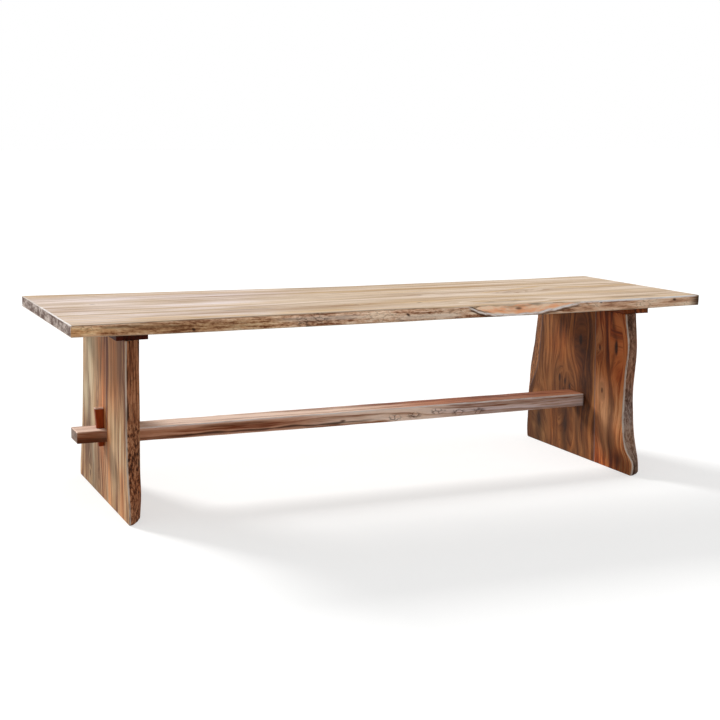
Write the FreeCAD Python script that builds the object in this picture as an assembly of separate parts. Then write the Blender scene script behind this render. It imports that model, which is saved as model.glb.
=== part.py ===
"""Live edge dining table: a glued-up slab top on two slab legs, tied by a wedged through-tenon stretcher.

Millimetres. +X runs along the table, +Y to the back, +Z up. The origin is on the floor, under the middle
of the table's outline.
"""
import FreeCAD, Part
import math
import os

from FreeCAD import Vector

# Whole table
TABLE_HEIGHT = 750.0
TOP_LENGTH = 2600.0
TOP_WIDTH = 1072.0
TOP_THICKNESS = 42.0

# Glue joints of the top, measured across from the middle of its outline
FRONT_SEAM_OFFSET = 250.0
BACK_SEAM_OFFSET = 110.0

# Hollow in the front live edge
HOLLOW_START = 215.0
HOLLOW_LENGTH = 520.0
HOLLOW_REACH = 46.0
HOLLOW_DEPTH = 35.0

# Slab legs
LEG_THICKNESS = 60.0
LEG_WIDTH = 900.0
LEG_INSET = 220.0
RIGHT_SEAM_OFFSET = 158.0

# Cleats between the legs and the top
CLEAT_THICKNESS = 40.0
CLEAT_WIDTH = 118.0
CLEAT_LENGTH = 750.0
RIGHT_CLEAT_SHIFT = 31.0
CLEAT_SCREW_MARGIN = 20.0
CLEAT_EASE = 2.0

# Stretcher with its shouldered through tenons
STRETCHER_OFFSET = 24.0
STRETCHER_WIDTH = 130.0
STRETCHER_HEIGHT = 52.0
STRETCHER_TOP = 283.0
STRETCHER_EASE = 4.0
TENON_SIDE_SHOULDER = 5.0
TENON_TOP_SHOULDER = 2.0
TENON_UNDER_SHOULDER = 6.0
TENON_PROJECTION = 113.0
TENON_EASE = 3.0
MORTISE_CLEARANCE = 0.5

# Tusk wedges
WEDGE_THICKNESS = 24.0
WEDGE_HEAD_WIDTH = 34.0
WEDGE_TIP_WIDTH = 20.0
WEDGE_ABOVE = 80.0
WEDGE_BELOW = 26.0
WEDGE_EASE = 2.5
WEDGE_CLEARANCE = 0.4
WEDGE_DRAW = 6.0

# Loose tongues in the glue joints
TONGUE_LENGTH = 80.0
TONGUE_REACH = 60.0
TONGUE_THICKNESS = 10.0
TONGUE_END_ROOM = 1.0
TONGUE_CLEARANCE = 0.1
TOP_TONGUE_COUNT = 6

# Hex-head screws, cleat to top, in slots that let the top move
TOP_SCREW_DIAMETER = 6.0
TOP_SCREW_BITE = 26.0
HEX_HEAD_WIDTH = 10.0
HEX_HEAD_HEIGHT = 4.0
SLOT_TRAVEL = 8.0
SLOT_CLEARANCE = 0.5
POCKET_DEPTH = 15.0
POCKET_CLEARANCE = 2.5

# Countersunk screws, cleat to leg
LEG_SCREW_DIAMETER = 6.0
LEG_SCREW_BITE = 60.0
LEG_SCREW_HEAD_DIAMETER = 12.0
LEG_SCREW_HEAD_HEIGHT = 4.0
LEG_SCREW_CLEARANCE = 0.3
PILOT_CLEARANCE = 0.1
PILOT_END_ROOM = 1.0

# How far cutting tools and blanks run past the piece they shape
OVERRUN = 20.0

# Live edges of the top: places along its length, then how far each edge reaches of the half width
TOP_PLACE_SHARES = (-0.5, -0.39, -0.25, -0.1, 0.0, 0.08, 0.16, 0.28, 0.4, 0.5)
TOP_FRONT_UPPER_SHARES = (-0.94, -0.907, -0.873, -0.86, -0.868, -0.948, -0.968, -0.955, -0.929, -0.905)
TOP_FRONT_LOWER_SHARES = (-0.94, -0.985, -0.996, -1.0, -0.993, -0.978, -0.985, -0.97, -0.937, -0.897)
TOP_BACK_UPPER_SHARES = (1.0, 0.933, 0.86, 0.791, 0.75, 0.742, 0.746, 0.742, 0.752, 0.8)
TOP_BACK_LOWER_SHARES = (1.0, 0.955, 0.892, 0.828, 0.791, 0.784, 0.784, 0.776, 0.784, 0.813)

# Live edges of the legs: places up their height, then how far each edge reaches of the half width,
# measured from the stretcher's middle line
LEG_PLACE_SHARES = (0.0, 0.075, 0.15, 0.24, 0.345, 0.495, 0.66, 0.825, 1.0)
LEFT_OUTER_FRONT_SHARES = (-0.955, -0.955, -0.929, -0.893, -0.871, -0.86, -0.862, -0.86, -0.882)
LEFT_INNER_FRONT_SHARES = (-0.745, -0.773, -0.793, -0.776, -0.771, -0.778, -0.782, -0.776, -0.787)
LEFT_OUTER_BACK_SHARES = (1.035, 1.024, 0.993, 0.956, 0.918, 0.88, 0.853, 0.833, 0.827)
LEFT_INNER_BACK_SHARES = (0.951, 0.942, 0.916, 0.88, 0.844, 0.809, 0.782, 0.764, 0.756)
RIGHT_OUTER_FRONT_SHARES = (-0.902, -0.896, -0.869, -0.833, -0.816, -0.804, -0.84, -0.858, -0.838)
RIGHT_INNER_FRONT_SHARES = (-0.996, -1.012, -0.904, -0.853, -0.842, -0.856, -0.889, -0.922, -0.876)
RIGHT_OUTER_BACK_SHARES = (1.004, 1.024, 1.04, 1.075, 1.112, 1.11, 1.036, 0.978, 0.922)
RIGHT_INNER_BACK_SHARES = (0.969, 0.973, 0.962, 0.951, 0.916, 0.762, 0.704, 0.664, 0.64)

# Depths at which a slab's outline is drawn, and how quickly its live edge swells out from the narrow face
EDGE_DEPTH_SHARES = (0.0, 0.25, 0.75, 1.0)
TOP_EDGE_SWELL = 2
LEG_EDGE_SWELL = 2

# Hollow in the front edge: places along it, how far in and how deep it goes there
HOLLOW_PLACE_SHARES = (0.0, 0.14, 0.34, 0.58, 0.84, 1.0)
HOLLOW_REACH_SHARES = (0.06, 0.62, 1.0, 0.95, 0.55, 0.06)
HOLLOW_DEPTH_SHARES = (0.06, 0.78, 1.0, 0.92, 0.4, 0.06)
HOLLOW_EDGE_SHARE = -0.972
HOLLOW_RUNOUT_SHARE = 0.7

# Fasteners along each cleat, as shares of its length from its middle
TOP_SCREW_SHARES = (-0.43, 0.0, 0.43)
LEG_SCREW_SHARES = (-0.4, 0.0, 0.4)

# Leg tongues: one below the mortise, two above it
LOW_TONGUE_SHARE = 0.5
HIGH_TONGUE_SHARES = (0.3, 0.7)

# Worked-out levels and faces
TOP_UNDERSIDE = TABLE_HEIGHT - TOP_THICKNESS
LEG_HEIGHT = TOP_UNDERSIDE - CLEAT_THICKNESS
LEG_OUTER_FACE = TOP_LENGTH / 2 - LEG_INSET
LEG_INNER_FACE = LEG_OUTER_FACE - LEG_THICKNESS
LEG_MIDDLE = LEG_OUTER_FACE - LEG_THICKNESS / 2
TENON_WIDTH = STRETCHER_WIDTH - 2 * TENON_SIDE_SHOULDER
TENON_TOP = STRETCHER_TOP - TENON_TOP_SHOULDER
TENON_HEIGHT = STRETCHER_HEIGHT - TENON_TOP_SHOULDER - TENON_UNDER_SHOULDER
TENON_UNDERSIDE = TENON_TOP - TENON_HEIGHT
LEFT_SEAM = STRETCHER_OFFSET - TENON_WIDTH / 2 - MORTISE_CLEARANCE
RIGHT_SEAM = STRETCHER_OFFSET - RIGHT_SEAM_OFFSET
WEDGE_HEAD = TENON_TOP + WEDGE_ABOVE
WEDGE_TIP = TENON_UNDERSIDE - WEDGE_BELOW
SLOT_SHOULDER = LEG_HEIGHT + POCKET_DEPTH

X_AXIS = Vector(1, 0, 0)
Y_AXIS = Vector(0, 1, 0)
Z_AXIS = Vector(0, 0, 1)
LEFT = -1
RIGHT = 1


def block(low, high):
    """Box between two opposite corners."""
    size = high - low
    return Part.makeBox(size.x, size.y, size.z, low)


def rod(diameter, length, start, direction):
    """Round bar from a start point."""
    return Part.makeCylinder(diameter / 2, length, start, direction)


def cut_all(shape, tools):
    """Take each tool out of a shape."""
    for tool in tools:
        shape = shape.cut(tool)
    return shape


def at_top(along, across, through):
    """Point of the top slab from its own directions: along its length, across and through it."""
    return Vector(along, across, through)


def at_leg(along, across, through):
    """Point of a leg slab: its length stands up, and its thickness lies along the table."""
    return Vector(through, across, along)


def live_curve(to_point, places, reaches, through):
    """Smooth edge through its points, run straight on past both ends."""
    places = (places[0] - OVERRUN,) + places + (places[-1] + OVERRUN,)
    reaches = (reaches[0],) + reaches + (reaches[-1],)
    curve = Part.BSplineCurve()
    curve.interpolate([to_point(along, across, through) for along, across in zip(places, reaches)])
    return curve.toShape()


def live_outline(to_point, places, front, back, through):
    """Closed outline of a slab at one depth: two live edges joined by straight ends."""
    near = live_curve(to_point, places, front, through)
    far = live_curve(to_point, places, back, through)
    ends = [
        Part.makeLine(near.Vertexes[place].Point, far.Vertexes[place].Point) for place in (0, -1)
    ]
    return Part.Wire(Part.__sortEdges__([near, ends[1], far, ends[0]]))


def edge_at_depth(first, last, depth, swell):
    """Reach of a live edge at a share of the depth: it swells out from whichever face is narrower."""
    reaches = []
    for one, other in zip(first, last):
        narrow, wide = sorted((one, other), key=abs)
        from_narrow = depth if narrow == one else 1 - depth
        reaches.append(wide - (wide - narrow) * (1 - from_narrow) ** swell)
    return tuple(reaches)


def live_slab(to_point, places, fronts, backs, start, thickness, swell):
    """Solid slab whose two long edges swell in flats between the arrises of its two faces."""
    outlines = []
    for depth in EDGE_DEPTH_SHARES:
        front = edge_at_depth(*fronts, depth, swell)
        back = edge_at_depth(*backs, depth, swell)
        outlines.append(live_outline(to_point, places, front, back, start + depth * thickness))
    return Part.makeLoft(outlines, True, True)


def scaled(shares, size, middle):
    """Shares of a size, laid out from a middle line."""
    return tuple(middle + share * size for share in shares)


def hollow_tool():
    """Cutter for the hollow: a wedge-shaped section that swells and dies out along the edge."""
    edge = HOLLOW_EDGE_SHARE * TOP_WIDTH / 2
    sections = []
    for place, reach, depth in zip(HOLLOW_PLACE_SHARES, HOLLOW_REACH_SHARES, HOLLOW_DEPTH_SHARES):
        along = HOLLOW_START + place * HOLLOW_LENGTH
        inward = reach * HOLLOW_REACH
        down = depth * HOLLOW_DEPTH
        runout_in = HOLLOW_RUNOUT_SHARE * inward
        runout_down = HOLLOW_RUNOUT_SHARE * down
        inner = Vector(along, edge + inward + runout_in, TABLE_HEIGHT + runout_down)
        outer = Vector(along, edge - runout_in, TABLE_HEIGHT - down - runout_down)
        corner = Vector(along, outer.y, inner.z)
        sections.append(Part.makePolygon([inner, outer, corner, inner]))
    return Part.makeLoft(sections, True, False)


def seam_tongue_places(seam):
    """Middles of the tongues along one glue joint of the top, kept between the legs."""
    spacing = 2 * LEG_INNER_FACE / TOP_TONGUE_COUNT
    level = TABLE_HEIGHT - TOP_THICKNESS / 2
    return [
        Vector((index + 0.5) * spacing - LEG_INNER_FACE, seam, level) for index in range(TOP_TONGUE_COUNT)
    ]


def leg_tongue_places(side, seam):
    """Middles of the tongues up one leg's glue joint, clear of the mortise."""
    room = LEG_HEIGHT - TENON_TOP
    levels = [LOW_TONGUE_SHARE * TENON_UNDERSIDE]
    levels += [TENON_TOP + share * room for share in HIGH_TONGUE_SHARES]
    return [Vector(side * LEG_MIDDLE, seam, level) for level in levels]


def tongue(place, run, room, end_room):
    """Flat key across a joint that runs along one axis; room makes the slot that holds it."""
    flat = X_AXIS + Z_AXIS - run
    half = run * (TONGUE_LENGTH / 2 + end_room)
    half += Y_AXIS * (TONGUE_REACH / 2 + end_room)
    half += flat * (TONGUE_THICKNESS / 2 + room)
    return block(place - half, place + half)


def tongues(places, run):
    """Loose wooden keys of one joint."""
    return [tongue(place, run, 0, 0) for place in places]


def tongue_slots(places, run):
    """Slots for a joint's tongues, a little larger than the keys."""
    return [tongue(place, run, TONGUE_CLEARANCE, TONGUE_END_ROOM) for place in places]


def cleat_span(side):
    """Low and high X of one cleat."""
    middle = side * LEG_MIDDLE
    if side == RIGHT:
        middle += RIGHT_CLEAT_SHIFT
    return middle - CLEAT_WIDTH / 2, middle + CLEAT_WIDTH / 2


def top_screw_places(side):
    """Points under the top where a cleat's screws go in, along each margin beside the leg that takes them."""
    low, high = cleat_span(side)
    leg_low = side * LEG_MIDDLE - LEG_THICKNESS / 2
    margins = ((low, leg_low), (leg_low + LEG_THICKNESS, high))
    return [
        Vector((near + far) / 2, place, TOP_UNDERSIDE)
        for near, far in margins
        if far - near > CLEAT_SCREW_MARGIN
        for place in scaled(TOP_SCREW_SHARES, CLEAT_LENGTH, STRETCHER_OFFSET)
    ]


def leg_screw_places(side):
    """Points on a cleat's upper face where the screws into the leg are countersunk."""
    return [
        Vector(side * LEG_MIDDLE, place, TOP_UNDERSIDE)
        for place in scaled(LEG_SCREW_SHARES, CLEAT_LENGTH, STRETCHER_OFFSET)
    ]


def slot(place, width, low, high):
    """Upright square-ended slot that lets a screw move across the table."""
    half = Vector(width / 2, (width + SLOT_TRAVEL) / 2, 0)
    return block(Vector(place.x, place.y, low) - half, Vector(place.x, place.y, high) + half)


def hex_screw(place):
    """Hex-head screw that stands up through its slot into the top."""
    corners = []
    for turn in range(7):
        angle = turn * math.pi / 3
        out = Vector(math.cos(angle), math.sin(angle), 0) * (HEX_HEAD_WIDTH / math.sqrt(3))
        corners.append(Vector(place.x, place.y, SLOT_SHOULDER) + out)
    head = Part.Face(Part.makePolygon(corners)).extrude(-Z_AXIS * HEX_HEAD_HEIGHT)
    length = TOP_UNDERSIDE + TOP_SCREW_BITE - PILOT_END_ROOM - SLOT_SHOULDER
    shank = rod(TOP_SCREW_DIAMETER, length, Vector(place.x, place.y, SLOT_SHOULDER), Z_AXIS)
    return head.fuse(shank).removeSplitter()


def top_pilot(place):
    """Pilot hole in the top for one cleat screw."""
    return rod(TOP_SCREW_DIAMETER + 2 * PILOT_CLEARANCE, TOP_SCREW_BITE, place, Z_AXIS)


def leg_screw(place):
    """Countersunk screw that hangs down from the cleat into the leg's end grain."""
    head = Part.makeCone(
        LEG_SCREW_HEAD_DIAMETER / 2, LEG_SCREW_DIAMETER / 2, LEG_SCREW_HEAD_HEIGHT, place, -Z_AXIS
    )
    length = CLEAT_THICKNESS + LEG_SCREW_BITE - PILOT_END_ROOM
    return head.fuse(rod(LEG_SCREW_DIAMETER, length, place, -Z_AXIS)).removeSplitter()


def leg_pilot(place):
    """Pilot hole in a leg's end grain for one screw."""
    mouth = place - Z_AXIS * CLEAT_THICKNESS
    return rod(LEG_SCREW_DIAMETER + 2 * PILOT_CLEARANCE, LEG_SCREW_BITE, mouth, -Z_AXIS)


def leg_screw_hole(place):
    """Countersunk hole through a cleat for one screw into the leg."""
    flare = Part.makeCone(
        LEG_SCREW_HEAD_DIAMETER / 2, LEG_SCREW_DIAMETER / 2, LEG_SCREW_HEAD_HEIGHT, place, -Z_AXIS
    )
    return flare.fuse(rod(LEG_SCREW_DIAMETER + 2 * LEG_SCREW_CLEARANCE, CLEAT_THICKNESS, place, -Z_AXIS))


def top_boards():
    """Three boards of the top, split from one live edge slab at its glue joints."""
    half = TOP_WIDTH / 2
    slab = live_slab(
        at_top,
        scaled(TOP_PLACE_SHARES, TOP_LENGTH, 0),
        (scaled(TOP_FRONT_LOWER_SHARES, half, 0), scaled(TOP_FRONT_UPPER_SHARES, half, 0)),
        (scaled(TOP_BACK_LOWER_SHARES, half, 0), scaled(TOP_BACK_UPPER_SHARES, half, 0)),
        TOP_UNDERSIDE,
        TOP_THICKNESS,
        TOP_EDGE_SWELL,
    ).cut(hollow_tool())
    seams = (-half - OVERRUN, -FRONT_SEAM_OFFSET, BACK_SEAM_OFFSET, half + OVERRUN)
    joints = seam_tongue_places(-FRONT_SEAM_OFFSET) + seam_tongue_places(BACK_SEAM_OFFSET)
    holes = tongue_slots(joints, X_AXIS)
    holes += [top_pilot(place) for side in (LEFT, RIGHT) for place in top_screw_places(side)]
    boards = []
    for near, far in zip(seams[:-1], seams[1:]):
        low = Vector(-TOP_LENGTH / 2, near, TOP_UNDERSIDE)
        high = Vector(TOP_LENGTH / 2, far, TABLE_HEIGHT)
        boards.append(cut_all(slab.common(block(low, high)), holes))
    return boards


def leg_slab(side):
    """Whole live edge slab of one leg, from its outer and inner face outlines."""
    half = LEG_WIDTH / 2
    if side == LEFT:
        fronts = (LEFT_OUTER_FRONT_SHARES, LEFT_INNER_FRONT_SHARES)
        backs = (LEFT_OUTER_BACK_SHARES, LEFT_INNER_BACK_SHARES)
        start = -LEG_OUTER_FACE
    else:
        fronts = (RIGHT_INNER_FRONT_SHARES, RIGHT_OUTER_FRONT_SHARES)
        backs = (RIGHT_INNER_BACK_SHARES, RIGHT_OUTER_BACK_SHARES)
        start = LEG_INNER_FACE
    fronts = [scaled(shares, half, STRETCHER_OFFSET) for shares in fronts]
    backs = [scaled(shares, half, STRETCHER_OFFSET) for shares in backs]
    places = scaled(LEG_PLACE_SHARES, LEG_HEIGHT, 0)
    return live_slab(at_leg, places, fronts, backs, start, LEG_THICKNESS, LEG_EDGE_SWELL)


def leg_boards(side, seam):
    """Front and back boards of one leg, with the mortise, tongue slots and screw pilots."""
    slab = leg_slab(side)
    middle = side * LEG_MIDDLE
    reach = Vector(LEG_THICKNESS / 2, LEG_WIDTH, 0)
    low = Vector(middle, seam, 0) - reach
    high = Vector(middle, seam, LEG_HEIGHT) + reach
    halves = (
        block(low, Vector(high.x, seam, high.z)),
        block(Vector(low.x, seam, low.z), high),
    )
    room = Vector(OVERRUN + LEG_THICKNESS / 2, TENON_WIDTH / 2 + MORTISE_CLEARANCE, MORTISE_CLEARANCE)
    mortise = block(
        Vector(middle, STRETCHER_OFFSET, TENON_UNDERSIDE) - room,
        Vector(middle, STRETCHER_OFFSET, TENON_TOP) + room,
    )
    tools = [mortise] + tongue_slots(leg_tongue_places(side, seam), Z_AXIS)
    tools += [leg_pilot(place) for place in leg_screw_places(side)]
    return [cut_all(slab.common(half), tools) for half in halves]


def cleat(side):
    """Batten on top of one leg, slotted for the top's screws and countersunk for the leg's."""
    low_x, high_x = cleat_span(side)
    half = Y_AXIS * (CLEAT_LENGTH / 2)
    shape = block(
        Vector(low_x, STRETCHER_OFFSET, LEG_HEIGHT) - half,
        Vector(high_x, STRETCHER_OFFSET, TOP_UNDERSIDE) + half,
    )
    ends = [edge for edge in shape.Edges if abs(edge.tangentAt(edge.FirstParameter).z) > 0.5]
    shape = shape.makeChamfer(CLEAT_EASE, ends)
    tools = [leg_screw_hole(place) for place in leg_screw_places(side)]
    for place in top_screw_places(side):
        pocket = HEX_HEAD_WIDTH + 2 * POCKET_CLEARANCE
        shank = TOP_SCREW_DIAMETER + 2 * SLOT_CLEARANCE
        tools.append(slot(place, pocket, LEG_HEIGHT, SLOT_SHOULDER))
        tools.append(slot(place, shank, SLOT_SHOULDER, TOP_UNDERSIDE))
    return cut_all(shape, tools)


def wedge_profile(side, inner, room):
    """Tapered outline of a tusk wedge seen from the front, with room added on its sloping side."""
    slope = (WEDGE_HEAD_WIDTH - WEDGE_TIP_WIDTH) / (WEDGE_HEAD - WEDGE_TIP)
    head = WEDGE_HEAD_WIDTH + room + slope * OVERRUN
    tip = WEDGE_TIP_WIDTH + room - slope * OVERRUN
    corners = (
        (inner, WEDGE_TIP - OVERRUN),
        (tip, WEDGE_TIP - OVERRUN),
        (head, WEDGE_HEAD + OVERRUN),
        (inner, WEDGE_HEAD + OVERRUN),
    )
    return [Vector(side * (LEG_OUTER_FACE + out), STRETCHER_OFFSET, level) for out, level in corners]


def wedge_blank(side, inner, room, thickness):
    """Tapered bar through the tenon, longer than the wedge at both ends."""
    corners = [corner - Y_AXIS * (thickness / 2) for corner in wedge_profile(side, inner, room)]
    face = Part.Face(Part.makePolygon(corners + corners[:1]))
    return face.extrude(Y_AXIS * thickness)


def wedge(side):
    """Tusk wedge: flat on the leg's outer face, sloping on the far side, eased at both ends."""
    blank = wedge_blank(side, 0, 0, WEDGE_THICKNESS)
    reach = Vector(WEDGE_HEAD_WIDTH + OVERRUN, WEDGE_THICKNESS, 0)
    middle = Vector(side * LEG_OUTER_FACE, STRETCHER_OFFSET, 0)
    shape = blank.common(
        block(middle + Z_AXIS * WEDGE_TIP - reach, middle + Z_AXIS * WEDGE_HEAD + reach)
    )
    rims = [edge for edge in shape.Edges if abs(edge.tangentAt(edge.FirstParameter).z) < 0.5]
    return shape.makeChamfer(WEDGE_EASE, rims)


def stretcher():
    """Long rail with shouldered tenons through both legs, each mortised for its wedge."""
    half_width = Y_AXIS * (STRETCHER_WIDTH / 2)
    start = Vector(-LEG_INNER_FACE, STRETCHER_OFFSET, STRETCHER_TOP - STRETCHER_HEIGHT) - half_width
    end = Vector(LEG_INNER_FACE, STRETCHER_OFFSET, STRETCHER_TOP) + half_width
    rail = block(start, end)
    arrises = [edge for edge in rail.Edges if abs(edge.tangentAt(edge.FirstParameter).x) > 0.5]
    shape = rail.makeFillet(STRETCHER_EASE, arrises)
    tip = LEG_OUTER_FACE + TENON_PROJECTION
    half_tenon = Y_AXIS * (TENON_WIDTH / 2)
    bar = block(
        Vector(-tip, STRETCHER_OFFSET, TENON_UNDERSIDE) - half_tenon,
        Vector(tip, STRETCHER_OFFSET, TENON_TOP) + half_tenon,
    )
    rims = [edge for edge in bar.Edges if abs(edge.tangentAt(edge.FirstParameter).x) < 0.5]
    shape = shape.fuse(bar.makeChamfer(TENON_EASE, rims)).removeSplitter()
    for side in (LEFT, RIGHT):
        shape = shape.cut(
            wedge_blank(side, -WEDGE_DRAW, WEDGE_CLEARANCE, WEDGE_THICKNESS + 2 * WEDGE_CLEARANCE)
        )
    return shape


def write(name, shapes):
    """Save one node, a single solid or a group of like solids."""
    shape = shapes[0] if len(shapes) == 1 else Part.makeCompound(shapes)
    shape.exportStep(os.path.join("parts", name + ".step"))


def main():
    """Build every piece and save it under its own name."""
    os.makedirs("parts", exist_ok=True)
    front, middle, back = top_boards()
    write("top_board_front", [front])
    write("top_board_middle", [middle])
    write("top_board_back", [back])
    write("top_front_seam_tongues", tongues(seam_tongue_places(-FRONT_SEAM_OFFSET), X_AXIS))
    write("top_back_seam_tongues", tongues(seam_tongue_places(BACK_SEAM_OFFSET), X_AXIS))
    write("stretcher", [stretcher()])
    for name, side, seam in (("left", LEFT, LEFT_SEAM), ("right", RIGHT, RIGHT_SEAM)):
        front, back = leg_boards(side, seam)
        write(name + "_leg_front_board", [front])
        write(name + "_leg_back_board", [back])
        write(name + "_leg_tongues", tongues(leg_tongue_places(side, seam), Z_AXIS))
        write(name + "_cleat", [cleat(side)])
        write(name + "_leg_screws", [leg_screw(place) for place in leg_screw_places(side)])
        write(name + "_top_screws", [hex_screw(place) for place in top_screw_places(side)])
        write(name + "_wedge", [wedge(side)])


main()
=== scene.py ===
"""Looks of a live edge dining table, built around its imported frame.

Metres, in the frame of the solids: +X along the table, +Y to the back, +Z up, the floor at zero.
"""
import logging
import math
from dataclasses import dataclass, field
from enum import Enum
from typing import Any, Sequence

import bpy
import numpy as np
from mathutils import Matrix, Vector
from mathutils.bvhtree import BVHTree


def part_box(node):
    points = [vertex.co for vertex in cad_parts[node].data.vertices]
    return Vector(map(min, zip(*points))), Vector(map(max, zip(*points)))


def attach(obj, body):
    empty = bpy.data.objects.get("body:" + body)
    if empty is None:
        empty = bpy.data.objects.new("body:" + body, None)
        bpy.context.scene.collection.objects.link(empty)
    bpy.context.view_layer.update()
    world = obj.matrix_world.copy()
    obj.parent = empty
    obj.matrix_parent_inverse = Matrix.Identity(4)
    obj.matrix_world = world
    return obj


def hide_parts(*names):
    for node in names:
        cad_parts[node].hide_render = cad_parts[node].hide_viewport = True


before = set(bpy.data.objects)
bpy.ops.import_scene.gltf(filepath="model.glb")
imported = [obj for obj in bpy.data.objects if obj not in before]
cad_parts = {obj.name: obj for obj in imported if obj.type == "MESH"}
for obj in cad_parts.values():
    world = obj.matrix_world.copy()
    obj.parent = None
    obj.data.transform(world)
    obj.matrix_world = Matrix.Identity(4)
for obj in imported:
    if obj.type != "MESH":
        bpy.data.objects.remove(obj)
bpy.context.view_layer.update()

LOG = logging.getLogger("live_edge_table")
MILLIMETRE = 0.001
IMAGE_PIXELS = 720
SENSOR_WIDTH = 36.0
RAY_START = 3.0
CUT_RUN = 0.02
GOLDEN_ANGLE = 2.399
WOBBLE_WAVES = ((1.0, 0.5), (0.61, 0.3), (0.37, 0.2))
WOBBLE_SHIFT = 1.7
MASKS = ("bark", "rough", "arris", "wane", "knot", "glue", "end", "dark_line", "worm")
BOX_SIDES = ((0, 1, 5, 4), (1, 2, 6, 5), (2, 3, 7, 6), (3, 0, 4, 7), (3, 2, 1, 0), (4, 5, 6, 7))
WHITE = (1.0, 1.0, 1.0, 1.0)
BURROW_STRETCH = (1.6, 0.8, 0.8)

# Colour sockets of a Mix node
MIX_FACTOR = 0
MIX_FIRST = 6
MIX_SECOND = 7
MIX_RESULT = 2

# Waves a metre of each noise along, across and through the wood
FINE_WAVES = (4.5, 22.0, 22.0)
FIBRE_WAVES = (8.0, 300.0, 300.0)
PORE_WAVES = (40.0, 850.0, 850.0)
PATCH_WAVES = (5.0, 16.0, 16.0)
BARK_STREAK_WAVES = (8.0, 100.0, 100.0)
BARK_FLAKE_WAVES = (55.0, 110.0, 110.0)
BARK_CELL_WAVES = (26.0, 70.0, 70.0)
CURL_WAVES = (14.0, 52.0, 52.0)
END_WAVES = (0.0, 9.0, 22.0)
SWELL_WAVES = (14.0, 38.0, 38.0)
FLAKE_WAVES = (60.0, 150.0, 150.0)
PIT_WAVES = (50.0, 120.0, 120.0)

# Where each pattern starts to show and where it shows in full
WARM_BAND = (0.5, 0.66)
COOL_BAND = (0.5, 0.34)
LINE_BAND = (0.55, 0.62)
PORE_BAND = (0.6, 0.74)
TORN_BAND = (0.38, 0.56)
KNOT_BAND = (0.08, 0.9)
CRACKED_BAND = (0.46, 0.6)
CRACK_BAND = (0.0, 0.08)
BURROW_BAND = (0.0, 0.16)
CURL_BAND = (0.34, 0.66)
WEAR_AND_HIGHLIGHT_BAND = (0.36, 0.56)
END_BAND = (0.42, 0.64)
PIT_BAND = (0.58, 0.7)

# Places of the dark, middle and light colour on a finish's scale
WOOD_STOPS = (0.14, 0.5, 0.84)
BARK_STOPS = (0.12, 0.5, 0.86)

Colour = tuple[float, float, float, float]


class Grain(Enum):
    """Which way a piece's wood fibres run: the axes along, across and through it."""

    ALONG_TABLE = (0, 1, 2)
    UPRIGHT = (2, 1, 0)
    ACROSS_TABLE = (1, 0, 2)


class GrainSource(Enum):
    """Where a wood finish reads its coordinates."""

    PAINTED = "grain"
    OBJECT = "object"


class Edge(Enum):
    """How one long side of a board is finished."""

    LIVE = "live"
    SEAM = "seam"


class Face(Enum):
    """The face of a board whose live arris is painted pale: wear together with a painted highlight."""

    LOW = "low"
    HIGH = "high"


class Streak(Enum):
    """Kinds of long coloured streak in the wood, by the attribute that holds them; a few broad ones are
    painted shade and painted light.
    """

    AMBER = "amber"
    PALE = "pale"
    DARK = "dark"
    MAUVE = "mauve"


def srgb(red: float, green: float, blue: float) -> Colour:
    """Turn a display colour into the linear colour that shaders take.

    Args:
        red: Display value from 0 to 255.
        green: Display value from 0 to 255.
        blue: Display value from 0 to 255.

    Returns:
        Linear red, green, blue and an alpha of one.
    """
    linear = []
    for value in (red / 255, green / 255, blue / 255):
        linear.append(value / 12.92 if value <= 0.04045 else ((value + 0.055) / 1.055) ** 2.4)
    return (*linear, 1.0)


def smooth_step(value: np.ndarray, low: float, high: float) -> np.ndarray:
    """Ease from zero at low to one at high."""
    share = np.clip((value - low) / (high - low), 0.0, 1.0)
    return share * share * (3 - 2 * share)


def wobble(places: np.ndarray, length: float, seed: float) -> np.ndarray:
    """Smooth hand-made unevenness along a line.

    Args:
        places: Distances along the line.
        length: Typical wave length.
        seed: Picks one of many patterns.

    Returns:
        Values from about -1 to 1.
    """
    total = np.zeros_like(places)
    for index, (pitch, weight) in enumerate(WOBBLE_WAVES):
        phase = GOLDEN_ANGLE * (seed + index * WOBBLE_SHIFT)
        total += weight * np.sin(2 * math.pi * places / (length * pitch) + phase * (index + 1))
    return total


def quarter_round(distance: np.ndarray, radius: float) -> np.ndarray:
    """How far a rounded corner draws in at a distance from its end."""
    share = np.clip(1 - distance / radius, 0.0, 1.0)
    return radius * (1 - np.sqrt(1 - share ** 2))


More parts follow.
